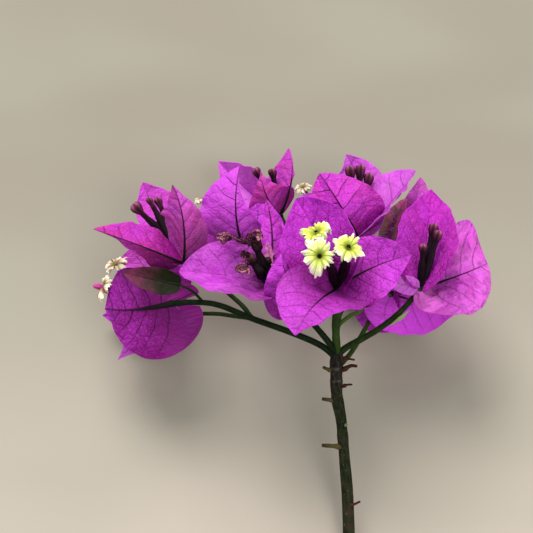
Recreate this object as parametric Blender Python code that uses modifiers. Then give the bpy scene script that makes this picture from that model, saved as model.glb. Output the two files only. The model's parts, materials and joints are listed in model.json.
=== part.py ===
"""A cut tip of a bougainvillea branch, lying on its back.

The sprig is drawn upright, in millimetres from the fork of its stem: x to the right, y away from its
front and z up. At the end it is laid back onto the tips of its rearmost bracts and the cut end of its
stem, and the middle of its underside is put at the origin.

A bloom is three papery bracts round a foot, each with a slender flower on its inner side.
"""

import math

import bmesh
import bpy
from mathutils import Matrix, Vector

MM = 0.001
CLEARANCE = 0.3  # between one piece and the next
LAID_BACK = math.radians(74)

CUT_END_RADIUS = 2.0  # of the stem, where it was cut
NODE_RADIUS = 2.2  # of the stem, just under its fork
FORK_RADIUS = 1.5  # of the stem's rounded top
STUB_RADII = (0.85, 0.6)  # what is left of a fallen leaf or thorn, from its foot to its end
PETIOLE_RADII = (0.5, 0.4)
KNOB_RADIUS = 1.3  # of the foot that holds three bracts together
STEM_SIDES, STALK_SIDES, THIN_SIDES, KNOB_SIDES = 12, 8, 6, 8

BRACT_THICKNESS = 0.4
BRACT_ROWS, BRACT_COLUMNS = 6, 4
BASE_CROWDING = 1.6  # the power that draws a bract's rows together at its foot
SHARPNESS = 1.35  # of the outline: the powers at its two ends add up to this
CUPPING = math.radians(14)  # how much more the margin turns than the middle
SHOULDER_HEIGHT, SHOULDER_RISE, SHOULDER_FALL = 3.4, 0.35, 4  # peak of about 1, a little above the foot

STAR_POINTS = 10  # five lobes, each notched
STAR_NOTCH = 0.84
STAR_DEPTH = 0.3  # of its radius
STAR_THICKNESS = 0.6

# a tube's radius, by how far along it lies, up to the neck and then over each kind of head
NECK = [(0.0, 0.7), (0.15, 1.0), (0.35, 1.45), (0.55, 1.15), (0.78, 0.8)]
HEADS = {
    "bud": [(0.86, 1.0), (0.95, 1.5), (1.0, 1.1)],
    "star": [(0.9, 0.85), (1.0, 1.2)],
    "withered": [(0.95, 1.3), (1.0, 0.8)],
}

BRACT_COLOUR = (0.52, 0.03, 0.50)
BARK_COLOUR = (0.05, 0.06, 0.03)
STALK_COLOUR = (0.02, 0.07, 0.02)
LEAF_COLOUR = (0.10, 0.09, 0.03)


def bract(bow, tip, half_width, left, right, widest, lobe, shares=(1, 1)):
    """A bract by the middle and the tip of its midrib, the angle that each wing turns forward, how far
    along it is widest, how far its shoulders reach back, and the share of the half width that each of
    its wings has."""
    return {
        "bow": Vector(bow),
        "tip": Vector(tip),
        "half_width": half_width,
        "wings": (math.radians(left), math.radians(right)),
        "widest": widest,
        "lobe": lobe,
        "shares": shares,
    }


def flower(head, kind, bow=(0, 0, 0), facing=(0, -1, 0), radius=5):
    """A flower by the place of its head, how far its tube bows out, and how an open one faces."""
    return {
        "head": Vector(head),
        "kind": kind,
        "bow": Vector(bow),
        "facing": Vector(facing),
        "radius": radius,
    }


BLOOMS = {
    "upper_left_bloom": {
        "foot": (-52, -3, 29),
        "bracts": [
            bract((-66, -12, 35), (-81.5, -11, 40.5), 14, -68, -62, 0.36, 3, (0.78, 1)),
            bract((-53, -14, 43), (-55, -15, 55), 13, -63, -50, 0.4, 3),
            bract((-61.5, 20, 43), (-68, 24, 58), 12, 30, 20, 0.45, 3),
        ],
        "flowers": [
            flower((-69.5, 6, 48.5), "bud", (0, 8, 3)),
            flower((-64.5, 10, 51), "bud", (0, 6, 0)),
            flower((-61, 11, 50.5), "bud", (0, 6, 0)),
        ],
    },
    "lower_left_bloom": {
        "foot": (-56, -2, 15.5),
        "bracts": [
            bract((-68, -2, 13.5), (-79.5, 6, 13.5), 18.5, -17, -12, 0.4, 11, (1, 0.78)),
            bract((-64.5, 18, 24.5), (-72, 22, 34.5), 12, -20, 10, 0.6, 0),
            bract((-65.5, 16, 6), (-76.5, 18, -5), 9, -20, -20, 0.36, 0),
        ],
        "flowers": [
            flower((-76, 6, 29), "star", (0, 6, 0), (-0.2, -0.55, 0.7), 3.8),
            flower((-80.5, 8, 21.5), "star", (0, 6, 0), (-0.85, -0.35, 0.45), 4.4),
            flower((-84, 10, 21.5), "bud", (0, 6, 0)),
        ],
    },
    "back_left_bloom": {
        "foot": (-55.5, 20, 10),
        "bracts": [
            bract((-69.5, 29, 9), (-83, 30, 10.5), 9, 20, 20, 0.36, 3),
            bract((-58.5, 31, 3.5), (-61.5, 35.5, -0.5), 7, 20, 20, 0.4, 2),
            bract((-61, 34, 19), (-67, 37, 27.5), 10, 20, 20, 0.4, 1),
        ],
        "flowers": [],
    },
    "inner_left_bloom": {
        "foot": (-32.5, 8, 36),
        "bracts": [
            bract((-34.5, 1, 48.5), (-33, 4, 62.5), 14.5, -37, -30, 0.42, 3, (1, 0.66)),
            bract((-39.5, 20, 38), (-46.5, 28, 40.5), 9, 20, 20, 0.36, 3),
            bract((-27.5, 13, 43.5), (-27.5, 14, 50), 11, 10, 10, 0.36, 3),
        ],
        "flowers": [
            flower((-46.5, 14, 52), "star", (0, 0, 0), (-0.3, -0.3, 0.9), 3),
        ],
    },
    "back_top_bloom": {
        "foot": (-19, 26, 46),
        "bracts": [
            bract((-17, 24, 58.5), (-16, 28, 70.5), 12, -52, -77, 0.45, 3),
            bract((-30, 36, 55), (-41.5, 38, 66.5), 13, 25, 50, 0.5, 3, (0.7, 1)),
            bract((-24, 18, 53), (-26, 16, 62), 11, -40, -30, 0.33, 3),
        ],
        "flowers": [
            flower((-28, 24, 61.5), "bud"),
            flower((-21.5, 27, 61.5), "bud"),
        ],
    },
    "withered_bloom": {
        "foot": (-23.5, -10, 22),
        "bracts": [
            bract((-38, -14, 25), (-53, -12, 26.5), 13.5, 64, 4, 0.5, 1, (1.25, 0.92)),
            bract((-22, -3, 37), (-24, 0, 51), 11, 76, 66, 0.36, 3),
            bract((-23, -6, 31.5), (-24.5, -5, 37), 3.6, 20, 20, 0.5, 1),
        ],
        "flowers": [
            flower((-28, -19, 38), "withered"),
            flower((-30, -22, 32), "withered"),
            flower((-24, -15, 31), "withered"),
        ],
    },
    "centre_bloom": {
        "foot": (-12.5, -13, 13),
        "bracts": [
            bract((-17, -23, 22.5), (-19, -24, 32.5), 11.5, -12, -68, 0.27, 1, (0.84, 0.69)),
            bract((-8.5, -8, 17), (-5.5, -6, 21), 7, 10, 10, 0.4, 1),
            bract((-12.5, -7, 19), (-11.5, -4, 25), 7, 10, 10, 0.4, 1),
        ],
        "flowers": [],
    },
    "front_bloom": {
        "foot": (-1, -16, 20.5),
        "bracts": [
            bract((-9.5, -35, 15), (-15, -42.5, 6.5), 14.5, 40, -28, 0.32, 4),
            bract((10.5, -18, 27.5), (23.5, -20, 32), 12.5, -5, 26, 0.45, 3, (0.9, 1)),
            bract((-6, -7, 36.5), (-14, -2, 51), 15.5, 35, 36, 0.42, 3, (1.22, 1)),
        ],
        "flowers": [
            flower((-7, -31, 31.5), "star", (0, 0, 0), (0, -1, 0.15), 5.6),
            flower((-8, -20, 39.5), "star", (0, 0, 0), (-0.5, -0.6, 0.7), 5.4),
            flower((2.5, -29, 34.5), "star", (0, 0, 0), (0.2, -0.8, 0.5), 5.4),
        ],
    },
    "upper_right_bloom": {
        "foot": (7, 0, 38),
        "bracts": [
            bract((1.5, -6, 47.5), (-6, -2, 59.5), 15.5, -30, -28, 0.45, 4, (0.82, 0.95)),
            bract((9, 22, 54.5), (4.5, 24, 68), 11, 20, 20, 0.4, 3),
            bract((18, 6, 49), (27.5, 7, 61), 12.7, -45, 84, 0.5, 3),
        ],
        "flowers": [
            flower((5, 12, 63), "bud", (0, 6, 0)),
            flower((9, 13, 63.5), "bud", (0, 6, 0)),
            flower((12, 12, 60.5), "bud", (0, 6, 0)),
        ],
    },
    "right_bloom": {
        "foot": (27.5, -8, 20.5),
        "bracts": [
            bract((30.5, 0, 38.5), (32.5, 3, 54.5), 15.5, 36, 46, 0.35, 3, (1, 0.95)),
            bract((40, -2, 24.5), (51.5, 2, 29), 18, -22, 30, 0.5, 7, (1.1, 0.85)),
            bract((22, -11, 23.5), (15.5, -12, 25), 7, 40, 50, 0.4, 1, (0.8, 0.8)),
        ],
        "flowers": [
            flower((28, -13, 35.5), "bud"),
            flower((33.5, -11, 40), "bud"),
            flower((32.5, -6, 42.5), "bud"),
        ],
    },
    "lower_right_bloom": {
        "foot": (20, 18, 18.5),
        "bracts": [
            bract((32, 22, 15), (44.5, 22, 13), 15.5, 10, 28, 0.3, 13, (0.62, 1)),
            bract((20, 32, 27), (16, 44.5, 32), 11, 20, 20, 0.36, 3),
            bract((15.5, 24, 12), (11.5, 26, 5.5), 9, 20, 20, 0.5, 3),
        ],
        "flowers": [],
    },
    "young_bloom": {
        "foot": (18.5, 14, 34),
        "bracts": [
            bract((26.5, 16, 46), (30.5, 20, 59.5), 9, 20, 20, 0.4, 3, (0.6, 1)),
            bract((21, 14, 43.5), (25, 13, 52.5), 6.5, 10, 40, 0.45, 1),
            bract((23, 34, 39.5), (26.5, 48, 44.5), 11, 20, 20, 0.36, 3),
        ],
        "flowers": [],
    },
    "back_middle_bloom": {
        "foot": (-1.5, 24, 38),
        "bracts": [
            bract((-6.5, 20, 46), (-11, 20, 53.5), 11, 20, 20, 0.4, 3),
            bract((3, 38, 48), (5.5, 51, 54), 11, 20, 20, 0.36, 3),
            bract((6.5, 36, 39.5), (15, 44, 42.5), 11, 20, 20, 0.36, 3),
        ],
        "flowers": [
            flower((-11, 24, 56.5), "star", (0, 0, 0), (-0.2, -0.6, 0.8), 2.8),
        ],
    },
}


def shoulder(s):
    """How much of its lobe a bract's edge has at s, from 0 at the foot to 1 at the tip."""
    return SHOULDER_HEIGHT * s**SHOULDER_RISE * (1 - s) ** SHOULDER_FALL


def outline(s, widest):
    """A bract's half width at s, as a share of its widest."""
    base, tip = SHARPNESS * widest, SHARPNESS * (1 - widest)
    return (s / widest) ** base * ((1 - s) / (1 - widest)) ** tip


def bract_point(foot, shape, s, t):
    """The point of a bract's surface at s along its midrib and t across it, from -1 to 1."""
    control = 2 * shape["bow"] - (foot + shape["tip"]) / 2
    rib = (1 - s) ** 2 * foot + 2 * s * (1 - s) * control + s * s * shape["tip"]
    along = (2 * (1 - s) * (control - foot) + 2 * s * (shape["tip"] - control)).normalized()
    across = along.cross(Vector((0, -1, 0))).normalized()
    forward = across.cross(along)
    side = 0 if t < 0 else 1
    wing = shape["wings"][side]
    half = shape["half_width"] * shape["shares"][side] * outline(s, shape["widest"]) * abs(t)
    turned = wing + CUPPING * abs(t)
    # the cross section of a wing is an arc from the midrib's angle to the margin's
    if abs(t) > 1e-6:
        out = half * (math.sin(turned) - math.sin(wing)) / (turned - wing)
        up = half * (math.cos(wing) - math.cos(turned)) / (turned - wing)
    else:
        out = up = 0
    back = shape["lobe"] * shoulder(s) * t * t
    return rib + across * math.copysign(out, t) + forward * up - along * back


# The stem and its stalks: where each runs, its radius at both ends, and what it starts from. A stalk
# that ends at a bloom's foot names the bloom, and starts inside what carries it, which then cuts it off.
STEM = [(5, 12, -76), (4.5, 8, -52.5), (3, 4.5, -33), (1.5, 2.5, -21), (0, 1, -12), (0, 0, -1)]
STUBS = [
    [(0, 0, -3), (3, -0.3, -3.2), (6, -1, -3.6)],
    [(0, 0, -7.5), (3, -1, -6), (6.5, -2, -5.5)],
    [(0, 0, -7.5), (-2.5, -0.5, -6.7), (-5, -1, -6)],
    [(0, 1, -13.5), (3, 0.5, -12.4), (5, -1, -12)],
    [(1, 2, -18), (-2, 1, -17.5), (-5, 0, -17)],
    [(3, 4, -34), (0, 3, -33.3), (-5, 2, -33)],
    [(4.5, 8, -54.5), (6.5, 7, -53.8), (8.5, 6, -53)],
]
STALKS = {
    "centre_stalk": {
        "route": [(0, 0, -1), (-0.5, -3, 6), (0, -7, 10.5)],
        "bloom": "front_bloom",
        "radii": (1.4, 1.0),
        "clear_of": ["main_stem"],
    },
    "right_stalk": {
        "route": [(0, 0, -1), (3.5, -1, 0.8), (9, -3, 4), (14.5, -5, 7.5), (21, -7.5, 13)],
        "bloom": "right_bloom",
        "radii": (1.15, 0.9),
        "clear_of": ["main_stem", "centre_stalk"],
    },
    "left_stalk": {
        "route": [
            (0, 0, -3), (-6, -0.5, 1.5), (-16.5, -1.5, 6), (-29, -2, 10.5), (-40, -4, 15), (-48, -5, 16),
        ],
        "bloom": "lower_left_bloom",
        "radii": (1.1, 0.85),
        "clear_of": ["main_stem", "centre_stalk"],
    },
    "centre_left_stalk": {
        "route": [(0, 0, -1), (-3, -2.5, 2.5), (-8.5, -5, 9)],
        "bloom": "centre_bloom",
        "radii": (1.15, 0.85),
        "clear_of": ["main_stem", "centre_stalk", "left_stalk"],
    },
    "back_stalk": {
        "route": [(0, 0, -1), (-0.5, 8, 8), (0.5, 16, 16.5), (0.5, 21, 27)],
        "bloom": "back_middle_bloom",
        "radii": (1.0, 0.8),
        "clear_of": ["main_stem", "centre_stalk", "centre_left_stalk"],
    },
    "back_right_stalk": {
        "route": [(0, 0, -6), (5, 4, -1.5), (10, 10, 6), (14, 15, 12.5)],
        "bloom": "lower_right_bloom",
        "radii": (0.9, 0.75),
        "clear_of": ["main_stem", "right_stalk"],
    },
    "upper_left_pedicel": {
        "route": [(-29, -2, 10.5), (-32, 0.5, 14.5), (-36, 3, 18), (-43, 3, 24)],
        "bloom": "upper_left_bloom",
        "radii": (0.75, 0.7),
        "clear_of": ["left_stalk"],
    },
    "back_left_pedicel": {
        "route": [(-29, -2, 10.5), (-35.5, 1.5, 11.2), (-41, 5, 11.8), (-48, 11, 11.5)],
        "bloom": "back_left_bloom",
        "radii": (0.75, 0.7),
        "clear_of": ["left_stalk", "upper_left_pedicel"],
    },
    "withered_pedicel": {
        "route": [(-5, -3.5, 5), (-11, -1.5, 11), (-18, -4, 17)],
        "bloom": "withered_bloom",
        "radii": (0.8, 0.7),
        "clear_of": ["centre_left_stalk"],
    },
    "inner_left_pedicel": {
        "route": [(-0.1, 12, 12.3), (-9, 11, 19), (-20, 10, 27)],
        "bloom": "inner_left_bloom",
        "radii": (0.75, 0.7),
        "clear_of": ["back_stalk"],
    },
    "back_top_pedicel": {
        "route": [(0.5, 16, 16.5), (-6, 21, 27), (-14, 24.5, 38)],
        "bloom": "back_top_bloom",
        "radii": (0.75, 0.7),
        "clear_of": ["back_stalk", "inner_left_pedicel"],
    },
    "upper_right_pedicel": {
        "route": [(0, -7, 10.5), (2.5, -2, 16), (5, 0, 26)],
        "bloom": "upper_right_bloom",
        "radii": (0.8, 0.7),
        "clear_of": ["centre_stalk"],
    },
    "young_pedicel": {
        "route": [(-0.3, -5, 8), (4.5, -3, 11.5), (8, 2, 13), (13.5, 9, 21)],
        "bloom": "young_bloom",
        "radii": (0.7, 0.65),
        "clear_of": ["centre_stalk", "upper_right_pedicel"],
    },
}

LEAF_PETIOLE = [(-45, -4.7, 15.7), (-48.5, -8, 19.5), (-53, -10, 22)]
LEAF_BLADE = bract((-63, -10, 24), (-72, -8, 26), 4.6, 12, 12, 0.35, 1)


def bract_surface(foot, shape, rows=BRACT_ROWS, columns=BRACT_COLUMNS):
    """The bract as an open sheet: a square grid moved onto its surface, closed to a point at both ends."""
    sheet = bmesh.new()
    bmesh.ops.create_grid(sheet, x_segments=columns, y_segments=rows, size=1)
    for vertex in sheet.verts:
        t, s = vertex.co.x, ((vertex.co.y + 1) / 2) ** BASE_CROWDING
        vertex.co = bract_point(foot, shape, s, t) * MM
    bmesh.ops.remove_doubles(sheet, verts=sheet.verts, dist=1e-6)
    return sheet


def new_object(name, mesh, collection, colour=None, roughness=0.6):
    """An object for a mesh, linked to a collection, with its own material if it has a colour."""
    piece = bpy.data.objects.new(name, mesh)
    collection.objects.link(piece)
    if colour:
        material = bpy.data.materials.new(name)
        material.use_nodes = True
        shader = material.node_tree.nodes["Principled BSDF"]
        shader.inputs["Base Color"].default_value = (*colour, 1)
        shader.inputs["Roughness"].default_value = roughness
        shader.inputs["Metallic"].default_value = 0
        mesh.materials.clear()
        mesh.materials.append(material)
    return piece


def evaluated_mesh(piece):
    """What a piece's modifiers or bevel make of it, as a mesh with its loose caps joined on."""
    depsgraph = bpy.context.evaluated_depsgraph_get()
    mesh = bpy.data.meshes.new_from_object(piece.evaluated_get(depsgraph))
    welded = bmesh.new()
    welded.from_mesh(mesh)
    bmesh.ops.remove_doubles(welded, verts=welded.verts, dist=1e-7)
    bmesh.ops.recalc_face_normals(welded, faces=welded.faces)
    welded.to_mesh(mesh)
    welded.free()
    return mesh


def tube_mesh(route, radii, smooth=True, sides=STALK_SIDES, steps=2):
    """A closed round limb along points in millimetres, with a radius at each."""
    curve = bpy.data.curves.new("tube", "CURVE")
    curve.dimensions = "3D"
    curve.bevel_depth = MM
    curve.bevel_resolution = (sides - 4) // 2
    curve.use_fill_caps = True
    curve.resolution_u = steps
    if smooth:
        spline = curve.splines.new("BEZIER")
        spline.bezier_points.add(len(route) - 1)
        for knot, place, radius in zip(spline.bezier_points, route, radii):
            knot.co = Vector(place) * MM
            knot.handle_left_type = knot.handle_right_type = "AUTO"
            knot.radius = radius
    else:
        spline = curve.splines.new("POLY")
        spline.points.add(len(route) - 1)
        for knot, place, radius in zip(spline.points, route, radii):
            knot.co = (*(Vector(place) * MM), 1)
            knot.radius = radius
    drawn = bpy.data.objects.new("tube", curve)
    bpy.context.scene.collection.objects.link(drawn)
    mesh = evaluated_mesh(drawn)
    bpy.data.objects.remove(drawn)
    bpy.data.curves.remove(curve)
    return mesh


def fused(name, meshes):
    """One mesh from several closed ones that run into each other."""
    pieces = [bpy.data.objects.new(name, mesh) for mesh in meshes]
    first, others = pieces[0], bpy.data.collections.new("others")
    bpy.context.scene.collection.children.link(others)
    bpy.context.scene.collection.objects.link(first)
    for piece in pieces[1:]:
        others.objects.link(piece)
    union = first.modifiers.new("union", "BOOLEAN")
    union.operation = "UNION"
    union.operand_type = "COLLECTION"
    union.collection = others
    union.solver = "MANIFOLD"
    mesh = evaluated_mesh(first)
    for piece in pieces:
        bpy.data.objects.remove(piece)
    bpy.data.collections.remove(others)
    return mesh


def limb_radii(count, ends):
    """Radii that taper evenly from the first of two ends to the second."""
    return [ends[0] + (ends[1] - ends[0]) * i / (count - 1) for i in range(count)]


def lengthened(route, by):
    """A route that goes on straight past both its ends."""
    points = [Vector(place) for place in route]
    first = points[0] + (points[0] - points[1]).normalized() * by
    last = points[-1] + (points[-1] - points[-2]).normalized() * by
    return [first, *points[1:-1], last]


def up_to_foot(route, foot):
    """A stalk's route carried on to just short of a bloom's foot."""
    foot = Vector(foot)
    last = Vector(route[-1])
    return [*route, foot + (last - foot).normalized() * (KNOB_RADIUS + CLEARANCE)]


def cutter(name, route, radii, collection):
    """A limb as a cutter, wider all round by the clearance."""
    wider = [radius + CLEARANCE for radius in radii]
    tool = new_object(name + "_clearance", tube_mesh(lengthened(route, CLEARANCE), wider), collection)
    tool.hide_render = True
    tool.display_type = "WIRE"
    return tool


def cut_clear(piece, tools):
    """Takes from a piece the room that each tool needs."""
    for tool in tools:
        cut = piece.modifiers.new(tool.name, "BOOLEAN")
        cut.operation = "DIFFERENCE"
        cut.object = tool
        cut.solver = "EXACT"


def make_limbs(parts, cutters):
    """The stem with its stubs, and a tapering stalk to each bloom. Returns each one's clearance."""
    radii = [*limb_radii(len(STEM) - 1, (CUT_END_RADIUS, NODE_RADIUS)), FORK_RADIUS]
    meshes = [tube_mesh(STEM, radii, sides=STEM_SIDES)]
    meshes += [tube_mesh(stub, limb_radii(len(stub), STUB_RADII), sides=THIN_SIDES) for stub in STUBS]
    new_object("main_stem", fused("main_stem", meshes), parts, BARK_COLOUR, 0.8)
    clearances = {"main_stem": cutter("main_stem", STEM, radii, cutters)}
    for name, stalk in STALKS.items():
        route = up_to_foot(stalk["route"], BLOOMS[stalk["bloom"]]["foot"])
        radii = limb_radii(len(route), stalk["radii"])
        piece = new_object(name, tube_mesh(route, radii), parts, STALK_COLOUR, 0.6)
        cut_clear(piece, [clearances[other] for other in stalk["clear_of"]])
        clearances[name] = cutter(name, route, radii, cutters)
    return clearances


def bract_mesh(foot, shape):
    """A bract as a closed shell."""
    sheet = bract_surface(foot, shape)
    mesh = bpy.data.meshes.new("bract")
    sheet.to_mesh(mesh)
    sheet.free()
    open_sheet = bpy.data.objects.new("bract", mesh)
    bpy.context.scene.collection.objects.link(open_sheet)
    wall = open_sheet.modifiers.new("wall", "SOLIDIFY")
    wall.thickness = BRACT_THICKNESS * MM
    wall.offset = 0
    closed = evaluated_mesh(open_sheet)
    bpy.data.objects.remove(open_sheet)
    return closed


def tube_route(foot, bloom_flower):
    """A flower tube's points and radii, from the foot to the head."""
    head = bloom_flower["head"]
    control = (foot + head) / 2 + bloom_flower["bow"]
    profile = NECK + HEADS[bloom_flower["kind"]]
    route = [(1 - s) ** 2 * foot + 2 * s * (1 - s) * control + s * s * head for s, _ in profile]
    return route, [radius for _, radius in profile]


def star_mesh(bloom_flower):
    """An open flower's shallow, notched cup."""
    cup = bmesh.new()
    bmesh.ops.create_circle(cup, segments=2 * STAR_POINTS, radius=1, cap_ends=True, cap_tris=True)
    outer = bloom_flower["radius"] * MM
    for i, vertex in enumerate(v for v in cup.verts if v.co.length > 0.5):
        vertex.co *= outer * (1 if i % 2 else STAR_NOTCH)
    for vertex in cup.verts:
        if vertex.co.length < 1e-9:
            vertex.co.z = -outer * STAR_DEPTH
    turn = bloom_flower["facing"].to_track_quat("Z", "Y").to_matrix().to_4x4()
    place = Matrix.Translation(bloom_flower["head"] * MM)
    bmesh.ops.transform(cup, matrix=place @ turn, verts=cup.verts)
    mesh = bpy.data.meshes.new("star")
    cup.to_mesh(mesh)
    cup.free()
    open_cup = bpy.data.objects.new("star", mesh)
    bpy.context.scene.collection.objects.link(open_cup)
    wall = open_cup.modifiers.new("wall", "SOLIDIFY")
    wall.thickness = STAR_THICKNESS * MM
    wall.offset = -1
    closed = evaluated_mesh(open_cup)
    bpy.data.objects.remove(open_cup)
    return closed


def knob_mesh(foot):
    """The knob that a bloom's three bracts grow from."""
    knob = bmesh.new()
    radius = KNOB_RADIUS * MM
    bmesh.ops.create_uvsphere(knob, u_segments=KNOB_SIDES, v_segments=KNOB_SIDES // 2, radius=radius)
    bmesh.ops.translate(knob, vec=foot * MM, verts=knob.verts)
    mesh = bpy.data.meshes.new("knob")
    knob.to_mesh(mesh)
    knob.free()
    return mesh


def make_bloom(name, bloom, parts, tools):
    """A bloom: its knob, bracts and flowers in one, cut clear of the stalks near it."""
    foot = Vector(bloom["foot"])
    meshes = [knob_mesh(foot)]
    meshes += [bract_mesh(foot, shape) for shape in bloom["bracts"]]
    for bloom_flower in bloom["flowers"]:
        route, radii = tube_route(foot, bloom_flower)
        meshes.append(tube_mesh(route, radii, smooth=False, sides=THIN_SIDES))
        if bloom_flower["kind"] == "star":
            meshes.append(star_mesh(bloom_flower))
    piece = new_object(name, fused(name, meshes), parts, BRACT_COLOUR, 0.5)
    cut_clear(piece, tools)


def make_leaf(parts, stalk):
    """The one small leaf, on a petiole that stands just clear of its stalk."""
    blade = bract_mesh(Vector(LEAF_PETIOLE[-1]), LEAF_BLADE)
    petiole = tube_mesh(LEAF_PETIOLE, limb_radii(len(LEAF_PETIOLE), PETIOLE_RADII), sides=THIN_SIDES)
    piece = new_object("small_leaf", fused("small_leaf", [petiole, blade]), parts, LEAF_COLOUR, 0.6)
    cut_clear(piece, [stalk])


def lay_down(objects):
    """Lays the upright sprig back and stands its lowest points on the ground, centred on the origin."""
    turn = Matrix.Rotation(-LAID_BACK, 4, "X")
    for piece in objects:
        piece.data.transform(turn)
    bpy.context.view_layer.update()
    depsgraph = bpy.context.evaluated_depsgraph_get()
    corners = []
    for piece in objects:
        if not piece.hide_render:
            mesh = piece.evaluated_get(depsgraph).to_mesh()
            corners += [tuple(vertex.co) for vertex in mesh.vertices]
    low = [min(corner[i] for corner in corners) for i in range(3)]
    high = [max(corner[i] for corner in corners) for i in range(3)]
    shift = Matrix.Translation((-(low[0] + high[0]) / 2, -(low[1] + high[1]) / 2, -low[2]))
    for piece in objects:
        piece.data.transform(shift)
    return shift @ turn


def main():
    for leftover in list(bpy.data.objects):
        bpy.data.objects.remove(leftover)
    parts = bpy.data.collections.new("bougainvillea_sprig")
    cutters = bpy.data.collections.new("cutters")
    for collection in (parts, cutters):
        bpy.context.scene.collection.children.link(collection)
    clearances = make_limbs(parts, cutters)
    for name, bloom in BLOOMS.items():
        own = [stalk for stalk in STALKS if STALKS[stalk]["bloom"] == name]
        make_bloom(name, bloom, parts, [clearances[stalk] for stalk in own])
    make_leaf(parts, clearances["left_stalk"])
    return lay_down([*parts.objects, *cutters.objects])


PLACE = main()
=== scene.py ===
import json
import math
import random

import bmesh
import bpy
from mathutils import Matrix, Vector, noise


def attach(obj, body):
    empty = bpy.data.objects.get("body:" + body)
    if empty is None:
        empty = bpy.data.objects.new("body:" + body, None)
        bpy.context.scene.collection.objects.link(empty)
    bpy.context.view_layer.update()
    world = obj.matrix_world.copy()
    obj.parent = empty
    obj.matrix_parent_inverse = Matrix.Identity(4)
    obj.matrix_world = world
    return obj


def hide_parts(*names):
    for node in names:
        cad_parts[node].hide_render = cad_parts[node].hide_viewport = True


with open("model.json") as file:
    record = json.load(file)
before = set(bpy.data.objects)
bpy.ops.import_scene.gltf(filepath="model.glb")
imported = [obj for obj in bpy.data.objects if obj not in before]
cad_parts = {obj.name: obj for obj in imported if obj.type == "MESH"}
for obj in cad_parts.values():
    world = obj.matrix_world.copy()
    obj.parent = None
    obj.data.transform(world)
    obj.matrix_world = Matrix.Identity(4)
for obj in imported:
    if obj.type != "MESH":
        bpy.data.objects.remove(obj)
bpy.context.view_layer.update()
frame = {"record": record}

# The sprig is drawn upright, in millimetres from the fork of its stem: x to the right, y away from its
# front and z up. The mount on its cut end then says where it lies on its back.
mm = 0.001
laidBack = math.radians(74)
cutEnd = Vector((5, 12, -76))
tilt = Matrix.Rotation(-laidBack, 4, "X")
mounts = {mount["name"]: mount for mount in frame["record"]["mounts"]}
place = Matrix.Translation(Vector(mounts["cut_end"]["pos_m"]) - tilt @ (cutEnd * mm)) @ tilt
upright = place @ Matrix.Scale(mm, 4)


# ---- shapes ----

def emptySheet():
    sheet = bmesh.new()
    for name in ("surface", "size"):
        sheet.loops.layers.uv.new(name)
    return sheet


def gridSheet(columns, rows, pointAt, sizeAt=None, surfaceAt=None):
    # a square grid moved onto a surface; "surface" keeps its place in the square, "size" that in millimetres
    sheet = emptySheet()
    surface, size = (sheet.loops.layers.uv[name] for name in ("surface", "size"))
    bmesh.ops.create_grid(sheet, x_segments=columns, y_segments=rows, size=0.5)
    for face in sheet.faces:
        for loop in face.loops:
            u, v = loop.vert.co.x + 0.5, loop.vert.co.y + 0.5
            loop[surface].uv = surfaceAt(u, v) if surfaceAt else (u, v)
            loop[size].uv = sizeAt(u, v) if sizeAt else (u, v)
    for vertex in sheet.verts:
        vertex.co = pointAt(vertex.co.x + 0.5, vertex.co.y + 0.5)
    bmesh.ops.remove_doubles(sheet, verts=sheet.verts, dist=1e-4)
    bmesh.ops.recalc_face_normals(sheet, faces=sheet.faces)
    return sheet


def smoothRoute(points, steps=12):
    # points of one smooth curve through the given ones, evenly many for each stretch
    points = [Vector(point) for point in points]
    ends = [2 * points[0] - points[1], *points, 2 * points[-1] - points[-2]]
    route = []
    for a, b, c, d in zip(ends, ends[1:], ends[2:], ends[3:]):
        for i in range(steps):
            t = i / steps
            route.append(0.5 * (2 * b + (c - a) * t + (2 * a - 5 * b + 4 * c - d) * t * t
                                + (3 * b - a - 3 * c + d) * t**3))
    return [*route, points[-1]]


def framedRoute(points):
    # each point with two directions square to the route, which don't twist along it
    route = smoothRoute(points)
    side = (route[1] - route[0]).orthogonal().normalized()
    stations = []
    for i, point in enumerate(route):
        along = (route[min(i + 1, len(route) - 1)] - route[max(i - 1, 0)]).normalized()
        side = (side - along * side.dot(along)).normalized()
        stations.append((point, side, along.cross(side)))
    return stations


def between(stations, v):
    # the place and directions at v, from 0 to 1 along a framed route
    spot = v * (len(stations) - 1)
    i = min(int(spot), len(stations) - 2)
    return [a.lerp(b, spot - i) for a, b in zip(stations[i], stations[i + 1])]


def profileAt(profile, v):
    # a smooth value from (place, value) pairs
    for (v0, a), (v1, b) in zip(profile, profile[1:]):
        if v <= v1:
            t = max(0, (v - v0) / (v1 - v0))
            return a + (b - a) * t * t * (3 - 2 * t)
    return profile[-1][1]


def curved(start, control, end, s):
    return (1 - s) ** 2 * start + 2 * s * (1 - s) * control + s * s * end


def hill(away, width):
    # 1 in the middle, and almost nothing two widths away
    return math.exp(-((away / width) ** 2))


def ringPoint(angle, radius, height):
    return Vector((radius * math.cos(angle), radius * math.sin(angle), height))


def roughAt(angle, rate, height):
    # a noise that closes round a tube
    return noise.noise(ringPoint(angle, rate, height))


def tubeSheet(points, radiusAt, columns=16, rows=40):
    # a closed tube; radiusAt gives the radius at v along it and at an angle round it
    stations = framedRoute(points)
    length = sum((b[0] - a[0]).length for a, b in zip(stations, stations[1:]))
    inset = 1 / (rows + 2)

    def pointAt(u, v):
        angle = 2 * math.pi * u
        capped = v < inset / 2 or v > 1 - inset / 2
        v = min(max((v - inset) / (1 - 2 * inset), 0), 1)
        centre, side, up = between(stations, v)
        radius = 0 if capped else radiusAt(v, angle)
        return centre + (side * math.cos(angle) + up * math.sin(angle)) * radius

    return gridSheet(columns, rows + 2, pointAt, lambda u, v: (u * 6, v * length))


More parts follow.
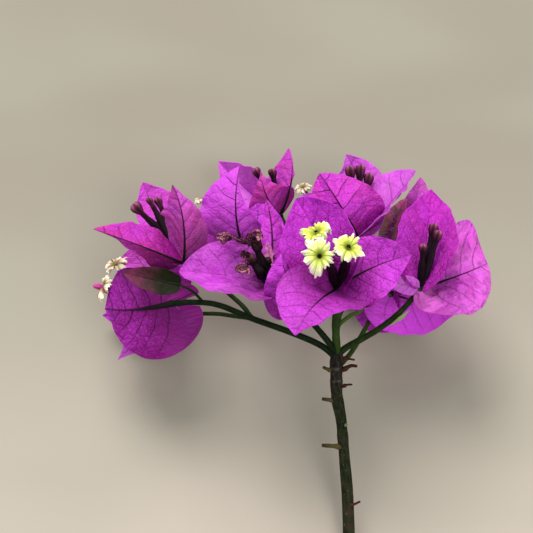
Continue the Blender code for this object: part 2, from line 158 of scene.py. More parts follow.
def tagLooks(piece, looks, veining):
    count = len(piece.data.vertices)
    for name, kind, way, values in (("looks", "FLOAT_COLOR", "color", looks),
                                    ("veining", "FLOAT_VECTOR", "vector", veining)):
        piece.data.attributes.new(name, kind, "POINT").data.foreach_set(way, list(values) * count)


def sheetObject(name, sheet, material, thickness=0, looks=(0.5, 0, 0, 1), veining=(1, 1, 0)):
    # a mesh object in the sprig's upright millimetres, with a wall if it has a thickness
    mesh = bpy.data.meshes.new(name)
    sheet.to_mesh(mesh)
    sheet.free()
    mesh.materials.append(material)
    piece = bpy.data.objects.new(name, mesh)
    bpy.context.scene.collection.objects.link(piece)
    if thickness:
        wall = piece.modifiers.new("wall", "SOLIDIFY")
        wall.thickness = thickness
        wall.offset = 0
        bpy.context.view_layer.update()
        walled = bpy.data.meshes.new_from_object(piece.evaluated_get(bpy.context.evaluated_depsgraph_get()))
        piece.modifiers.clear()
        piece.data = walled
        bpy.data.meshes.remove(mesh)
    tagLooks(piece, looks, veining)
    return piece


def joined(name, pieces, nodes):
    # one piece from several, laid in its place on the root body, standing for its nodes
    with bpy.context.temp_override(active_object=pieces[0], selected_editable_objects=pieces):
        bpy.ops.object.join()
    piece = pieces[0]
    piece.name = piece.data.name = name
    piece.data.transform(upright)
    piece.data.shade_smooth()
    piece.data.set_sharp_from_angle(angle=math.radians(50))
    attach(piece, "root")
    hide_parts(*nodes)
    return piece


# ---- finishes ----

def feed(socket, value):
    if isinstance(value, bpy.types.NodeSocket):
        socket.id_data.links.new(value, socket)
    else:
        socket.default_value = value


def nodeOf(kind, inputs, tree=None, **settings):
    # the outputs of a new node in the tree of its inputs, which are fed by name or number
    if tree is None:
        tree = next(value.id_data for value in inputs.values() if isinstance(value, bpy.types.NodeSocket))
    node = tree.nodes.new("ShaderNode" + kind)
    for name, value in settings.items():
        setattr(node, name, value)
    for name, value in inputs.items():
        feed(node.inputs[name], value)
    return node.outputs


def calc(operation, *values):
    return nodeOf("Math", dict(enumerate(values)), operation=operation)[0]


def times(first, second):
    return calc("MULTIPLY", first, second)


def scaled(value, factor, base):
    # base plus the value times the factor
    return calc("MULTIPLY_ADD", value, factor, base)


def swayed(value, cloud, reach):
    # the value moved up and down by a noise
    return scaled(calc("SUBTRACT", cloud, 0.5), reach, value)


def eased(value, low, high, lowTo=0, highTo=1):
    # a smooth step: lowTo up to low, highTo from high
    limits = {"Value": value, "From Min": low, "From Max": high, "To Min": lowTo, "To Max": highTo}
    return nodeOf("MapRange", limits, interpolation_type="SMOOTHSTEP")["Result"]


def blended(factor, first, second, way="MIX"):
    return nodeOf("Mix", {0: factor, 6: first, 7: second}, data_type="RGBA", blend_type=way)[2]


def cloudAt(vector, scale, detail=2, output="Fac"):
    return nodeOf("TexNoise", {"Vector": vector, "Scale": scale, "Detail": detail})[output]


def cellsAt(vector, scale, feature="DISTANCE_TO_EDGE"):
    return nodeOf("TexVoronoi", {"Vector": vector, "Scale": scale}, feature=feature)["Distance"]


def uvOf(tree, name):
    return nodeOf("UVMap", {}, tree, uv_map=name)["UV"]


def partsOf(vector):
    return nodeOf("SeparateXYZ", {0: vector})


def stretched(vector, scale):
    return nodeOf("Mapping", {"Vector": vector, "Scale": scale})[0]


def attributeOf(tree, name):
    return nodeOf("Attribute", {}, tree, attribute_name=name)


def looksOf(tree):
    # the shares that each sheet carries: tone, pale, young and blush
    carried = attributeOf(tree, "looks")
    return [*partsOf(carried["Vector"]), carried["Alpha"]]


def veiningOf(tree):
    # how plain the veins of a sheet are, how far they climb and how crumpled it is
    return partsOf(attributeOf(tree, "veining")["Vector"])


def bumpOf(height, strength=0.3, distance=0.0002):
    return nodeOf("Bump", {"Height": height, "Strength": strength, "Distance": distance})["Normal"]


def dress(shader, colour, normal=None):
    feed(shader.inputs["Base Color"], colour)
    if normal is not None:
        feed(shader.inputs["Normal"], normal)


def newMaterial(name, roughness, specular=0.5):
    material = bpy.data.materials.new(name)
    material.use_nodes = True
    shader = material.node_tree.nodes["Principled BSDF"]
    shader.inputs["Roughness"].default_value = roughness
    shader.inputs["Specular IOR Level"].default_value = specular
    return material, material.node_tree, shader


def groupOf(name, inputs, outputs):
    tree = bpy.data.node_groups.new(name, "ShaderNodeTree")
    for socket, kind in inputs:
        tree.interface.new_socket(socket, in_out="INPUT", socket_type="NodeSocket" + kind)
    for socket in outputs:
        tree.interface.new_socket(socket, in_out="OUTPUT", socket_type="NodeSocketFloat")
    given = tree.nodes.new("NodeGroupInput").outputs
    return tree, given, tree.nodes.new("NodeGroupOutput").inputs


def useGroup(group, **values):
    return nodeOf("Group", values, node_tree=group)


veins = {
    "count": 5.5,  # side veins in each half of a bract
    "crowding": 0.8,  # under 1 they stand closer towards the tip
    "rise": 1.05,  # how far each climbs towards the tip on its way to the margin
    "bend": 1.2,  # the power that turns it along the margin
    "width": 0.026,  # half a vein's width, as a share of their spacing
    "wobble": 0.26,
    "forkRise": 0.35,  # a fork climbs less, so it crosses to the next vein
    "cells": 0.32,  # how many cells of the coarse net lie in a millimetre
    "fineCells": 0.9,
    "drift": 37,  # moves the wobble from tone to tone
}


def veinPhase(s, t, climb):
    # a side vein runs wherever this is half past a whole number
    return veins["count"] * (s ** veins["crowding"] - climb) + (0.5 if t > 0 else 0)


def lineAt(phase, width):
    # a fine line wherever the phase is half past a whole number
    away = calc("ABSOLUTE", calc("SUBTRACT", calc("FRACT", phase), 0.5))
    return eased(away, width, times(width, 2.4), 1, 0)


def makeVeinGroup():
    # side veins that leave the midrib in turn, their forks, and the net between them
    inputs = [("Surface", "Vector"), ("Size", "Vector"), ("Seed", "Float"), ("Rise", "Float")]
    tree, given, out = groupOf("bractVeins", inputs, ["Veins", "Net", "Height"])
    u, v, _ = partsOf(given["Surface"])
    x, y, _ = partsOf(given["Size"])
    spot = nodeOf("CombineXYZ", {0: x, 1: y, 2: given["Seed"]})[0]
    t = scaled(u, 2, -1)
    a = calc("ABSOLUTE", t)
    outward = calc("ABSOLUTE", x)
    slant = calc("DIVIDE", times(outward, v), calc("MAXIMUM", y, 0.001))
    climb = calc("POWER", slant, veins["bend"])
    along = times(calc("POWER", v, veins["crowding"]), veins["count"])
    along = swayed(along, cloudAt(spot, 0.16), veins["wobble"] * 2)
    along = scaled(calc("GREATER_THAN", t, 0), 0.5, along)
    width = scaled(a, -0.7 * veins["width"], veins["width"])
    steep = times(times(climb, given["Rise"]), -veins["count"])
    side = lineAt(calc("ADD", steep, along), width)
    fork = lineAt(scaled(climb, veins["forkRise"] * veins["count"], along), width)
    forked = times(eased(a, 0.2, 0.5), eased(cloudAt(spot, 0.3), 0.45, 0.6, 0, 0.55))
    side = calc("MAXIMUM", side, times(fork, forked))
    side = times(side, eased(a, 0.7, 1, 1, 0.3))
    jitter = cloudAt(spot, 0.5, output="Color")
    shaken = nodeOf("VectorMath", {0: jitter, 1: (1.8, 1.8, 0), 2: spot}, operation="MULTIPLY_ADD")[0]
    coarseEdge, fineEdge = (cellsAt(shaken, veins[name]) for name in ("cells", "fineCells"))
    coarse = eased(coarseEdge, 0.0, 0.07, 1, 0)
    fine = eased(fineEdge, 0.0, 0.1, 1, 0)
    net = calc("MAXIMUM", times(coarse, 0.75), times(fine, 0.5))
    midrib = eased(calc("ABSOLUTE", x), 0.12, 0.4, 1, 0)
    feed(out["Veins"], calc("MAXIMUM", side, midrib))
    feed(out["Net"], net)
    # the skin swells in each cell of the net and sinks at its veins
    puffed = calc("ADD", eased(coarseEdge, 0, 0.35, 0, 1), eased(fineEdge, 0, 0.3, 0, 0.45))
    feed(out["Height"], scaled(side, -1.2, puffed))
    return tree


veinGroup = makeVeinGroup()

bractFinish = {
    "deep": (0.27, 0.002, 0.225, 1),
    "bright": (0.80, 0.070, 0.90, 1),
    "pale": (0.82, 0.28, 0.83, 1),
    # young and youngBase are partly a young bract's own pink and olive, partly painted light: made lighter to
    # lift the shadow that falls on the young bracts
    "young": (1.0, 0.42, 0.60, 1),
    "vein": (0.07, 0.003, 0.05, 1),
    "blush": (1.0, 0.8, 0.52, 1),
    "youngBase": (0.62, 0.42, 0.26, 1),
    "glow": 0.42,  # the share of light that a wall lets through
    "creaseShade": 0.38,  # painted shade: how much deeper the colour is in the folds of a crumpled bract
    "folds": -7,  # and how far they sink
    "drift": 90,  # moves the clouds from tone to tone, so that bracts differ
}


def makeBractMaterial():
    material, tree, shader = newMaterial("bractSkin", 0.5, 0.25)
    surface, size = uvOf(tree, "surface"), uvOf(tree, "size")
    tone, pale, young, blush = looksOf(tree)
    lines, rise, crumple = veiningOf(tree)
    vein = useGroup(veinGroup, Surface=surface, Size=size, Seed=times(tone, veins["drift"]), Rise=rise)
    shift = nodeOf("CombineXYZ", {2: times(tone, bractFinish["drift"])})[0]
    spot = nodeOf("VectorMath", {0: size, 1: shift}, operation="ADD")[0]
    cloud = cloudAt(spot, 0.09, 3)
    speck = cloudAt(spot, 1.6, 2)
    share = swayed(tone, cloud, 0.7)
    share = swayed(share, speck, 0.6)
    share = scaled(vein["Net"], -0.3, share)
    # painted shade: darker towards the foot of each bract, where the bracts of a bloom meet, and lighter
    # towards its tip
    share = scaled(eased(partsOf(surface)[1], 0, 0.8, -0.5, 0.5), 0.4, share)
    share = eased(share, 0, 1)
    colour = blended(share, bractFinish["deep"], bractFinish["bright"])
    patch = times(pale, eased(cloudAt(spot, 0.14, 3), 0.25, 0.7, 0.45, 1.2))
    colour = blended(patch, colour, bractFinish["pale"])
    warm = times(blush, eased(cloudAt(spot, 0.11, 2), 0.3, 0.65, 0.35, 1))
    colour = blended(warm, colour, bractFinish["blush"], "MULTIPLY")
    # the young colours carry painted light as well as the young bract's own colour
    mottle = times(young, eased(cloudAt(spot, 0.35, 4), 0.3, 0.65, 0.85, 1))
    u, v, _ = partsOf(surface)
    age = swayed(scaled(u, 0.5, v), cloudAt(spot, 0.5, 3), 0.5)
    tender = blended(eased(age, 0.45, 0.85), bractFinish["youngBase"], bractFinish["young"])
    margin = eased(calc("ABSOLUTE", scaled(u, 2, -1)), 0.8, 1, 0, 0.7)
    tender = blended(margin, tender, bractFinish["pale"])
    colour = blended(mottle, colour, tender)
    dark = scaled(vein["Net"], 0.22, times(vein["Veins"], 0.7))
    colour = blended(calc("MINIMUM", times(dark, lines), 0.9), colour, bractFinish["vein"])
    # painted shade: the colour deepens where the crumpled skin sinks into folds
    folds = times(eased(cloudAt(spot, 0.2, 3), 0.38, 0.66), crumple)
    colour = blended(times(folds, bractFinish["creaseShade"]), colour, bractFinish["deep"])
    height = scaled(speck, 1.2, vein["Height"])
    normal = bumpOf(scaled(folds, bractFinish["folds"], height), 0.8)
    dress(shader, colour, normal)
    through = nodeOf("BsdfTranslucent", {"Color": colour, "Normal": normal})[0]
    both = nodeOf("MixShader", {0: bractFinish["glow"], 1: shader.outputs[0], 2: through})[0]
    feed(tree.nodes["Material Output"].inputs["Surface"], both)
    return material


def makeAlongMaterial(name, stops, roughness, stripeShade=0, grain=0):
    # a limb whose colour changes along it, with five dark stripes round it for painted shade in the grooves
    # between its ridges, and a little grain
    material, tree, shader = newMaterial(name, roughness, 0.07)
    u, v, _ = partsOf(uvOf(tree, "surface"))
    ramp = tree.nodes.new("ShaderNodeValToRGB")
    ramp.color_ramp.interpolation = "EASE"
    while len(ramp.color_ramp.elements) < len(stops):
        ramp.color_ramp.elements.new(0.5)
    for element, (at, colour) in zip(ramp.color_ramp.elements, stops):
        element.position = at
        element.color = (*colour, 1)
    grainCloud = cloudAt(uvOf(tree, "size"), 1.2, 3)
    feed(ramp.inputs["Fac"], swayed(v, grainCloud, grain))
    colour = ramp.outputs["Color"]
    ridge = calc("COSINE", times(u, 2 * math.pi * 5))
    # painted shade: five dark stripes round the limb, for the grooves between its ridges
    if stripeShade:
        colour = blended(scaled(ridge, stripeShade / 2, stripeShade / 2), colour, (0.002, 0.001, 0.002, 1))
    dress(shader, colour, bumpOf(grainCloud))
    return material


bractSkin = makeBractMaterial()
ribSkin = makeAlongMaterial("ribSkin", [
    (0, (0.004, 0.006, 0.004)), (0.35, (0.012, 0.006, 0.008)), (1, (0.10, 0.004, 0.06))], 0.45)
budSkin = makeAlongMaterial("budSkin", [
    (0, (0.005, 0.003, 0.004)), (0.45, (0.010, 0.003, 0.007)), (0.8, (0.016, 0.005, 0.010)),
    (0.9, (0.10, 0.016, 0.045)), (1, (0.42, 0.11, 0.22))], 0.6, stripeShade=0.75)
pinkBudSkin = makeAlongMaterial("pinkBudSkin", [
    (0, (0.010, 0.004, 0.008)), (0.7, (0.03, 0.005, 0.016)), (0.84, (0.42, 0.03, 0.20)),
    (1, (0.62, 0.10, 0.36))], 0.6, stripeShade=0.4)
tubeSkin = makeAlongMaterial("tubeSkin", [
    (0, (0.006, 0.003, 0.004)), (0.5, (0.012, 0.003, 0.008)), (1, (0.03, 0.012, 0.015))], 0.4, stripeShade=0.5)
witheredSkin = makeAlongMaterial("witheredSkin", [
    (0, (0.004, 0.003, 0.004)), (0.6, (0.008, 0.003, 0.005)), (0.8, (0.014, 0.004, 0.007)),
    (0.93, (0.09, 0.022, 0.032)), (1, (0.03, 0.007, 0.014))], 0.55, stripeShade=0.5, grain=0.4)
hairSkin = makeAlongMaterial("hairSkin", [(0, (0.55, 0.42, 0.40)), (1, (0.75, 0.66, 0.60))], 0.6)
# the shrivelled lobes: dark maroon with pink and tan bands along them, partly their own colour and partly
# painted highlight
limbSkin = makeAlongMaterial("limbSkin", [
    (0, (0.010, 0.001, 0.005)), (0.33, (0.05, 0.005, 0.02)), (0.5, (0.34, 0.08, 0.17)),
    (0.66, (0.04, 0.005, 0.018)), (1, (0.48, 0.17, 0.23))], 0.5, stripeShade=0.75, grain=2.4)

starFinish = {
    "throat": (0.006, 0.014, 0.002, 1),
    # painted shade, deepening towards the throat
    "shade": (0.16, 0.20, 0.02, 1),
    "middle": (0.50, 0.56, 0.06, 1),
    "edge": (0.64, 0.70, 0.24, 1),
    "lip": (0.84, 0.86, 0.60, 1),
    "lemon": (0.86, 0.86, 0.20, 1),
    "cream": (0.86, 0.80, 0.60, 1),
    # painted shade in reddish brown, for the folds and the middle of a cream flower
    "paintedShadeBrown": (0.20, 0.035, 0.035, 1),
}


def makeStarMaterial():
    material, tree, shader = newMaterial("starSkin", 0.5, 0.25)
    u, v, _ = partsOf(uvOf(tree, "surface"))
    cream, yellow, _, _ = looksOf(tree)
    cloud = cloudAt(uvOf(tree, "size"), 0.8, 2)
    spread = swayed(v, cloud, 0.35)
    furrow = eased(calc("COSINE", times(u, 4 * math.pi)), 0.1, 1.0)
    gap = eased(calc("COSINE", times(u, 2 * math.pi)), -1.0, -0.5, 1, 0)
    colour = blended(eased(spread, 0.2, scaled(yellow, 0.5, 0.6)), starFinish["middle"],
                     blended(yellow, starFinish["edge"], starFinish["lemon"]))
    colour = blended(eased(scaled(yellow, -0.1, spread), 0.6, 0.9), colour, starFinish["lip"])
    # painted shade: the colour deepens to the middle green along the furrows of the petals, most in the gaps
    # between them
    furrowShade = times(furrow, scaled(gap, 0.3, 0.15))
    colour = blended(furrowShade, colour, starFinish["middle"])
    colour = blended(times(cream, 0.8), colour, starFinish["cream"])
    # painted shade in brown on a cream flower, in its furrows and gaps and towards its middle
    colour = blended(times(cream, calc("MAXIMUM", times(furrow, 0.5), gap)), colour, starFinish["paintedShadeBrown"])
    colour = blended(times(cream, eased(spread, 0.15, 0.95, 0.9, 0)), colour, starFinish["paintedShadeBrown"])
    # painted shade: darker green towards the throat, down in the cup
    colour = blended(eased(v, 0.08, 0.55, 0.75, 0), colour, starFinish["shade"])
    throat = blended(times(yellow, 0.7), starFinish["throat"], starFinish["middle"])
    colour = blended(eased(v, 0.06, 0.2), throat, colour)
    dress(shader, colour)
    shader.inputs["Subsurface Weight"].default_value = 0.15
    shader.inputs["Subsurface Radius"].default_value = (0.002, 0.002, 0.001)
    return material


starSkin = makeStarMaterial()
print("finishes made")


# ---- bracts ----

paper = {
    "rows": 56,
    "columns": 26,
    "slender": 0.38,  # the half width to length of a bract whose veins climb in full
    "evenness": 0.15,  # the less, the more the rows crowd at the foot and the tip
    "thickness": 0.22,
    "sharpness": 1.35,  # the two powers of the outline add up to this
    "cupping": math.radians(14),
    "pillow": 0.34,  # how far the skin swells between side veins
    "crinkle": 0.22,
    "wrinkles": (3.2, 9),  # the sizes of fine and coarse wrinkles
    "ripple": 0.5,  # how far the margin waves
    "waves": (2.6, 5.3),  # how many there are along a margin
    "ribRadii": (0.42, 0.10),
    "lobeRise": 0.35,  # the less, the nearer a lobe's end is to the foot
    "lobeScale": 3.4,  # brings that end to the reach that a bract gives
}


# what a bract may say beyond its place; a pair is for its left and its right wing
bractLooks = {
    "inner": 1,  # -1 where the veins swell the other way
    "crinkle": 1.0,
    "ripple": 1.0,
    "rib": 1.0,
    "halves": (1, 1),  # shares of its half width
    "wides": None,  # where each wing is widest, if they differ
    "blunt": (1, 1),  # the less, the rounder the tip
    "sweep": (0, 0),  # how far the margin leans towards the tip
    "flare": (0, 0),  # the same, most of it near the tip
    "heel": None,  # the reach and rise of a lobe with a shape of its own
    "crumple": 0.0,
    "lines": 1.0,  # how plain the veins are
    "blush": 0.1,
    "hairs": 0,
}


def bractShape(bow, tip, half, left, right, widest, lobe, tone=0.5, pale=0.0, young=0.0, **looks):
    # a bract by the middle and tip of its midrib, the turn of its wings, where it is widest and its lobes
    shape = {**bractLooks, **looks, "bow": Vector(bow), "tip": Vector(tip), "half": half,
             "wings": (math.radians(left), math.radians(right)), "widest": widest, "lobe": lobe}
    shape["looks"] = (tone, pale, young, shape["blush"])
    return shape


def widthAt(shape, s, side):
    # the width of a wing at s
    widest = shape["wides"][side] if shape["wides"] else shape["widest"]
    base = paper["sharpness"] * widest
    tip = paper["sharpness"] * (1 - widest) * shape["blunt"][side]
    top = base / (base + tip)
    return shape["half"] * shape["halves"][side] * (s / top) ** base * ((1 - s) / (1 - top)) ** tip


def ribPoint(foot, shape, s):
    control = 2 * shape["bow"] - (foot + shape["tip"]) / 2
    point = curved(foot, control, shape["tip"], s)
    along = (2 * (1 - s) * (control - foot) + 2 * s * (shape["tip"] - control)).normalized()
    across = along.cross(Vector((0, -1, 0))).normalized()
    return point, along, across, across.cross(along)


def bractPoint(foot, shape, s, t):
    # a point at s along the midrib and at t across, from -1 at the left margin to 1 at the right
    rib, along, across, forward = ribPoint(foot, shape, s)
    a = abs(t)
    side = 0 if t < 0 else 1
    wing = shape["wings"][side]
    width = widthAt(shape, s, side)
    turned = wing + paper["cupping"] * a
    out = up = 0
    if a > 1e-6:
        out = width * a * (math.sin(turned) - math.sin(wing)) / (turned - wing)
        up = width * a * (math.cos(wing) - math.cos(turned)) / (turned - wing)
    sign = math.copysign(1, t)
    outward = forward * math.cos(turned) - across * sign * math.sin(turned)
    x, y = width * t, s * shape["length"]
    seed = shape["looks"][0] * veins["drift"]
    body = math.sin(math.pi * min(1, s * 1.02)) ** 0.5
    climb = shape["rise"] * (abs(x) / shape["length"]) ** veins["bend"]
    swell = math.sin(math.pi * abs((veinPhase(s, t, climb) % 1) - 0.5)) * min(1, a * 4) * (1 - a**4)
    relief = paper["pillow"] * shape["inner"] * swell * body
    fine, coarse = paper["wrinkles"]
    wrinkles = noise.noise(Vector((x / fine, y / fine, seed)))
    wrinkles += 1.6 * noise.noise(Vector((x / coarse, y / coarse, seed + 9)))
    relief += paper["crinkle"] * shape["crinkle"] * wrinkles * body * min(1, a * 3)
    broad, short = (math.sin(2 * math.pi * (rate * s + shift) + (1 - side) * 1.7)
                    for rate, shift in zip(paper["waves"], (seed, seed * 1.7)))
    wave = broad + 0.6 * short
    relief += paper["ripple"] * shape["ripple"] * wave * a**4 * body
    lobe, rise = shape["heel"] or (shape["lobe"], paper["lobeRise"])
    back = lobe * paper["lobeScale"] * s**rise * (1 - s) ** 4 * t * t
    back -= 4 * s * t * t * (shape["sweep"][side] * (1 - s) + shape["flare"][side] * math.sqrt(1 - s))
    return rib + across * math.copysign(out, t) + forward * up + outward * relief - along * back


def rowAt(v):
    return paper["evenness"] * v + (1 - paper["evenness"]) * v * v * (3 - 2 * v)


def makeBract(foot, shape):
    shape["length"] = (shape["bow"] - foot).length + (shape["tip"] - shape["bow"]).length
    # the veins of a broad bract spread
    shape["rise"] = veins["rise"] * min(1, paper["slender"] * shape["length"] / shape["half"])

    def pointAt(u, v):
        return bractPoint(foot, shape, rowAt(v), 2 * u - 1)

    def sizeAt(u, v):
        s = rowAt(v)
        return ((2 * u - 1) * widthAt(shape, s, 0 if u < 0.5 else 1), s * shape["length"])

    sheet = gridSheet(paper["columns"], paper["rows"], pointAt, sizeAt, lambda u, v: (u, rowAt(v)))
    carried = {"looks": shape["looks"], "veining": (shape["lines"], shape["rise"], shape["crumple"])}
    leaf = sheetObject("bract", sheet, bractSkin, paper["thickness"], **carried)
    thick, thin = paper["ribRadii"]
    ribLine = [bractPoint(foot, shape, s, 0) for s in (0.0, 0.15, 0.3, 0.45, 0.6, 0.75, 0.88)]
    rib = tubeSheet(ribLine, lambda v, angle: (thick * (1 - v) ** 1.5 + thin) * shape["rib"], 8, 28)
    rib = sheetObject("rib", rib, ribSkin, **carried)
    return [leaf, rib] + ([makeHairs(foot, shape)] if shape["hairs"] else [])


def makeHairs(foot, shape):
    # pale bristles on the outside of a bract that is still folded
    dice = random.Random(4)
    tuft = emptySheet()
    for _ in range(shape["hairs"]):
        s, t, long = dice.uniform(0.12, 0.72), dice.uniform(-0.9, 0.1), dice.uniform(1.0, 2.2)
        root, beside, above = (bractPoint(foot, shape, *at) for at in ((s, t), (s, t + 0.02), (s + 0.01, t)))
        outward = (beside - root).cross(above - root).normalized()
        if outward.y > 0:
            outward.negate()
        lean = (outward * 0.5 + Vector((dice.uniform(0.2, 1), 0, dice.uniform(-0.2, 0.5)))).normalized()
        centre = root + lean * (long / 2 - 0.05)
        turned = Matrix.Translation(centre) @ lean.to_track_quat("Z", "Y").to_matrix().to_4x4()
        bmesh.ops.create_cone(tuft, cap_ends=True, segments=5, radius1=0.18, radius2=0.05, depth=long,
                              matrix=turned)
    return sheetObject("hairs", tuft, hairSkin)


# ---- flowers ----

knobRadius = 1.15

neck = [(0.0, 0.55), (0.12, 0.8), (0.33, 1.35), (0.5, 1.3), (0.72, 0.85)]
heads = {
    "bud": [(0.8, 0.9), (0.92, 1.45), (0.97, 1.35), (1.0, 0.75)],
    "star": [(0.9, 0.85), (1.0, 0.75)],
    "withered": [(0.78, 1.25), (0.92, 1.4), (1.0, 0.8)],
}
tube = {
    "columns": 30,
    "rows": 44,
    "ridge": 0.09,
    "headRidge": 0.16,
    "headFrom": 0.8,  # where along a tube its head begins
    "wrinkle": 0.25,  # of a withered one
}


def flowerShape(head, kind, bow=(0, 0, 0), facing=(0, -1, 0), radius=5, **looks):
    # a flower by its head, the bend of its tube and, for an open one, where it faces and how wide it is
    return {"head": Vector(head), "kind": kind, "bow": Vector(bow), "facing": Vector(facing),
            "radius": radius, "girth": 1.0, "by": None, "limbs": (), "tone": 0.0, "yellow": 0.0,
            "anthers": 0, "knob": 1.0, "late": 1.0, **looks}


def flowerRoute(foot, flower):
    head = flower["head"].copy()
    if flower["kind"] == "star":
        head -= flower["facing"].normalized() * star["depth"] * flower["radius"]
    if flower["by"]:
        return [foot, *[Vector(point) for point in flower["by"]], head]
    control = (foot + head) / 2 + flower["bow"]
    return [curved(foot, control, head, s) for s in (0, 0.25, 0.5, 0.75, 1)]


def makeTube(foot, flower, index):
    profile = neck + heads[flower["kind"]]
    spin = index * 1.3  # so that no two tubes have their ridges in line

    def radiusAt(v, angle):
        v = v ** flower["late"]
        inHead = v > tube["headFrom"]
        lobes = tube["headRidge"] if flower["kind"] == "bud" and inHead else tube["ridge"]
        wrinkle = 0
        if flower["kind"] == "withered":
            wrinkle = tube["wrinkle"] * roughAt(angle, 1.3, v * 9 + spin)
        girth = flower["girth"] * (flower["knob"] if inHead else 1)
        return profileAt(profile, v) * girth * (1 + lobes * math.cos(5 * angle + spin) + wrinkle)

    skin = {"bud": budSkin, "star": tubeSkin, "withered": witheredSkin}[flower["kind"]]
    if flower["kind"] == "bud" and flower["tone"] > 0.5:
        skin = pinkBudSkin
    return sheetObject("tube", tubeSheet(flowerRoute(foot, flower), radiusAt, tube["columns"], tube["rows"]),
                       skin)


def makeLimb(limb, index):
    # a shrivelled lobe of a withered flower, a flat strip that twists along its route
    def radiusAt(v, angle):
        lump = roughAt(angle, 1, v * 6 + index * 3)
        flat = 1 + 0.4 * math.cos(2 * (angle + v * 5))
        return limb["girth"] * flat * (0.9 + 0.35 * lump + 0.4 * v**3)

    return sheetObject("limb", tubeSheet(limb["route"], radiusAt, 20, 70), limbSkin)


star = {
    "columns": 140,
    "rows": 18,
    "throat": 0.05,  # of its radius
    "depth": 0.4,
    "gap": 0.3,  # how far the margin falls back between two petals
    "notch": 0.18,  # and in the middle of each
    "furrow": 0.19,
    "fold": 0.14,  # how far the lips turn back
    "droop": 0.22,
    "thickness": 0.28,
    "anther": 0.3,
    # what differs by chance: how far, and how often round the flower
    "uneven": (0.34, 1.4),
    "ragged": (0.26, 6),
    "sag": (2.0, 1.3),
    "dimple": (0.8, 4),
    "frill": (0.34, 8),
    "roll": (3, 3),
    "swing": (0.5, 1.5),
}


def makeStar(flower, index):
    # five petals, each notched and folded, round a dark throat
    outer = flower["radius"]
    turned = flower["facing"].normalized().to_track_quat("Z", "Y").to_matrix()
    seed = index * 7.3 + outer

    def chance(name, angle, shift):
        reach, rate = star[name]
        return reach * roughAt(angle, rate, seed + shift)

    def pointAt(u, v):
        angle = 2 * math.pi * u
        lobe = (5 * u + 0.37 * index) % 1 - 0.5
        rim = 1 - star["gap"] * abs(2 * lobe) ** 4 - star["notch"] * hill(lobe, 0.09)
        rim += chance("uneven", angle, 0) + chance("ragged", angle, 2)
        reach = star["throat"] + (1 - star["throat"]) * v
        radius = outer * reach * (1 + (rim - 1) * v**1.5)
        height = -star["depth"] * outer * (1 - min(1, v * 2.0)) ** 2
        valley = max(0, math.cos(4 * math.pi * lobe)) ** 2 * (1 if abs(lobe) > 0.25 else 0.5) - 0.3
        height -= valley * star["furrow"] * outer * min(1, v * 1.6)
        sag = 0.7 + chance("sag", angle, 4) + chance("dimple", angle, 8)
        height -= star["droop"] * outer * v**2 * sag
        height += outer * v**3 * chance("frill", angle, 6)
        height -= star["fold"] * outer * max(0, (v - 0.7) / 0.3) ** 2 * (1 + chance("roll", angle, 15))
        swing = angle + v * chance("swing", angle, 12)
        return flower["head"] + turned @ ringPoint(swing, radius, height)

    sheet = gridSheet(star["columns"], star["rows"], pointAt, lambda u, v: (u * 30, v * outer),
                      lambda u, v: (5 * u + 0.37 * index - 0.5, v))
    looks = (flower["tone"], flower["yellow"], 0, 1)
    return [sheetObject("star", sheet, starSkin, star["thickness"], looks),
            *makeAnthers(flower, turned, seed)]


def makeAnthers(flower, turned, seed):
    # dark anthers that just show in the throat
    dice = random.Random(int(seed * 10))
    balls = []
    for i in range(flower["anthers"]):
        angle, away, height = i * 2.4 + seed, dice.uniform(0.5, 1.1), dice.uniform(-0.4, 0.3)
        spot = flower["head"] + turned @ ringPoint(angle, away, height)
        balls.append(makeBall(spot, star["anther"] * dice.uniform(0.8, 1.3)))
    return balls


def makeBall(spot, radius, skin=ribSkin, looks=(0.5, 0, 0, 1)):
    ball = emptySheet()
    bmesh.ops.create_uvsphere(ball, u_segments=20, v_segments=12, radius=radius)
    bmesh.ops.translate(ball, vec=spot, verts=ball.verts)
    return sheetObject("ball", ball, skin, looks=looks)


def makeBloom(node, bloom):
    foot = Vector(bloom["foot"])
    leaves = [piece for shape in bloom["bracts"] for piece in makeBract(foot, shape)]
    joined(node + "_bracts", leaves, [node])
    inner = [makeBall(foot, knobRadius)]
    for index, flower in enumerate(bloom.get("flowers", [])):
        inner.append(makeTube(foot, flower, index))
        inner += [makeLimb(limb, i) for i, limb in enumerate(flower["limbs"])]
        if flower["kind"] == "star":
            inner += makeStar(flower, index)
    joined(node + "_flowers", inner, [node])


# ---- the blooms ----

upperLeftBloom = {
    "foot": (-52, -3, 29),
    "bracts": [
        bractShape((-66, -12, 35), (-81.5, -11, 40.5), 14, -68, -62, 0.36, 3, tone=0.55, blush=0.75,
                   halves=(0.78, 0.88), wides=(0.2, 0.46), blunt=(1.6, 1), lines=0.6),
        bractShape((-51.5, -14, 43), (-55, -15, 55), 13, -63, -50, 0.4, 3, tone=0.8, pale=0.32, blush=0.6,
                   halves=(1, 0.75), wides=(0.4, 0.34), blunt=(1, 1.35), lines=0.9),
        bractShape((-61.5, 20, 43), (-68, 24, 58), 12, 30, 20, 0.45, 3, tone=0.8, pale=0.25, blush=0.4,
                   halves=(0.68, 1), lines=0.3),
    ],
    "flowers": [
        flowerShape((-70, 6, 49.5), "bud", (0, 8, 3), late=1.6, knob=1.3,
                    by=[(-55, 3, 33.5), (-59.5, 7, 39.5), (-64.5, 7, 44)]),
        flowerShape((-65, 9, 52), "bud", (0, 6, 0), late=1.6, knob=0.75),
        flowerShape((-62, 10, 52), "bud", (0, 6, 0), late=1.6, knob=0.95),
    ],
}
makeBloom("upper_left_bloom", upperLeftBloom)

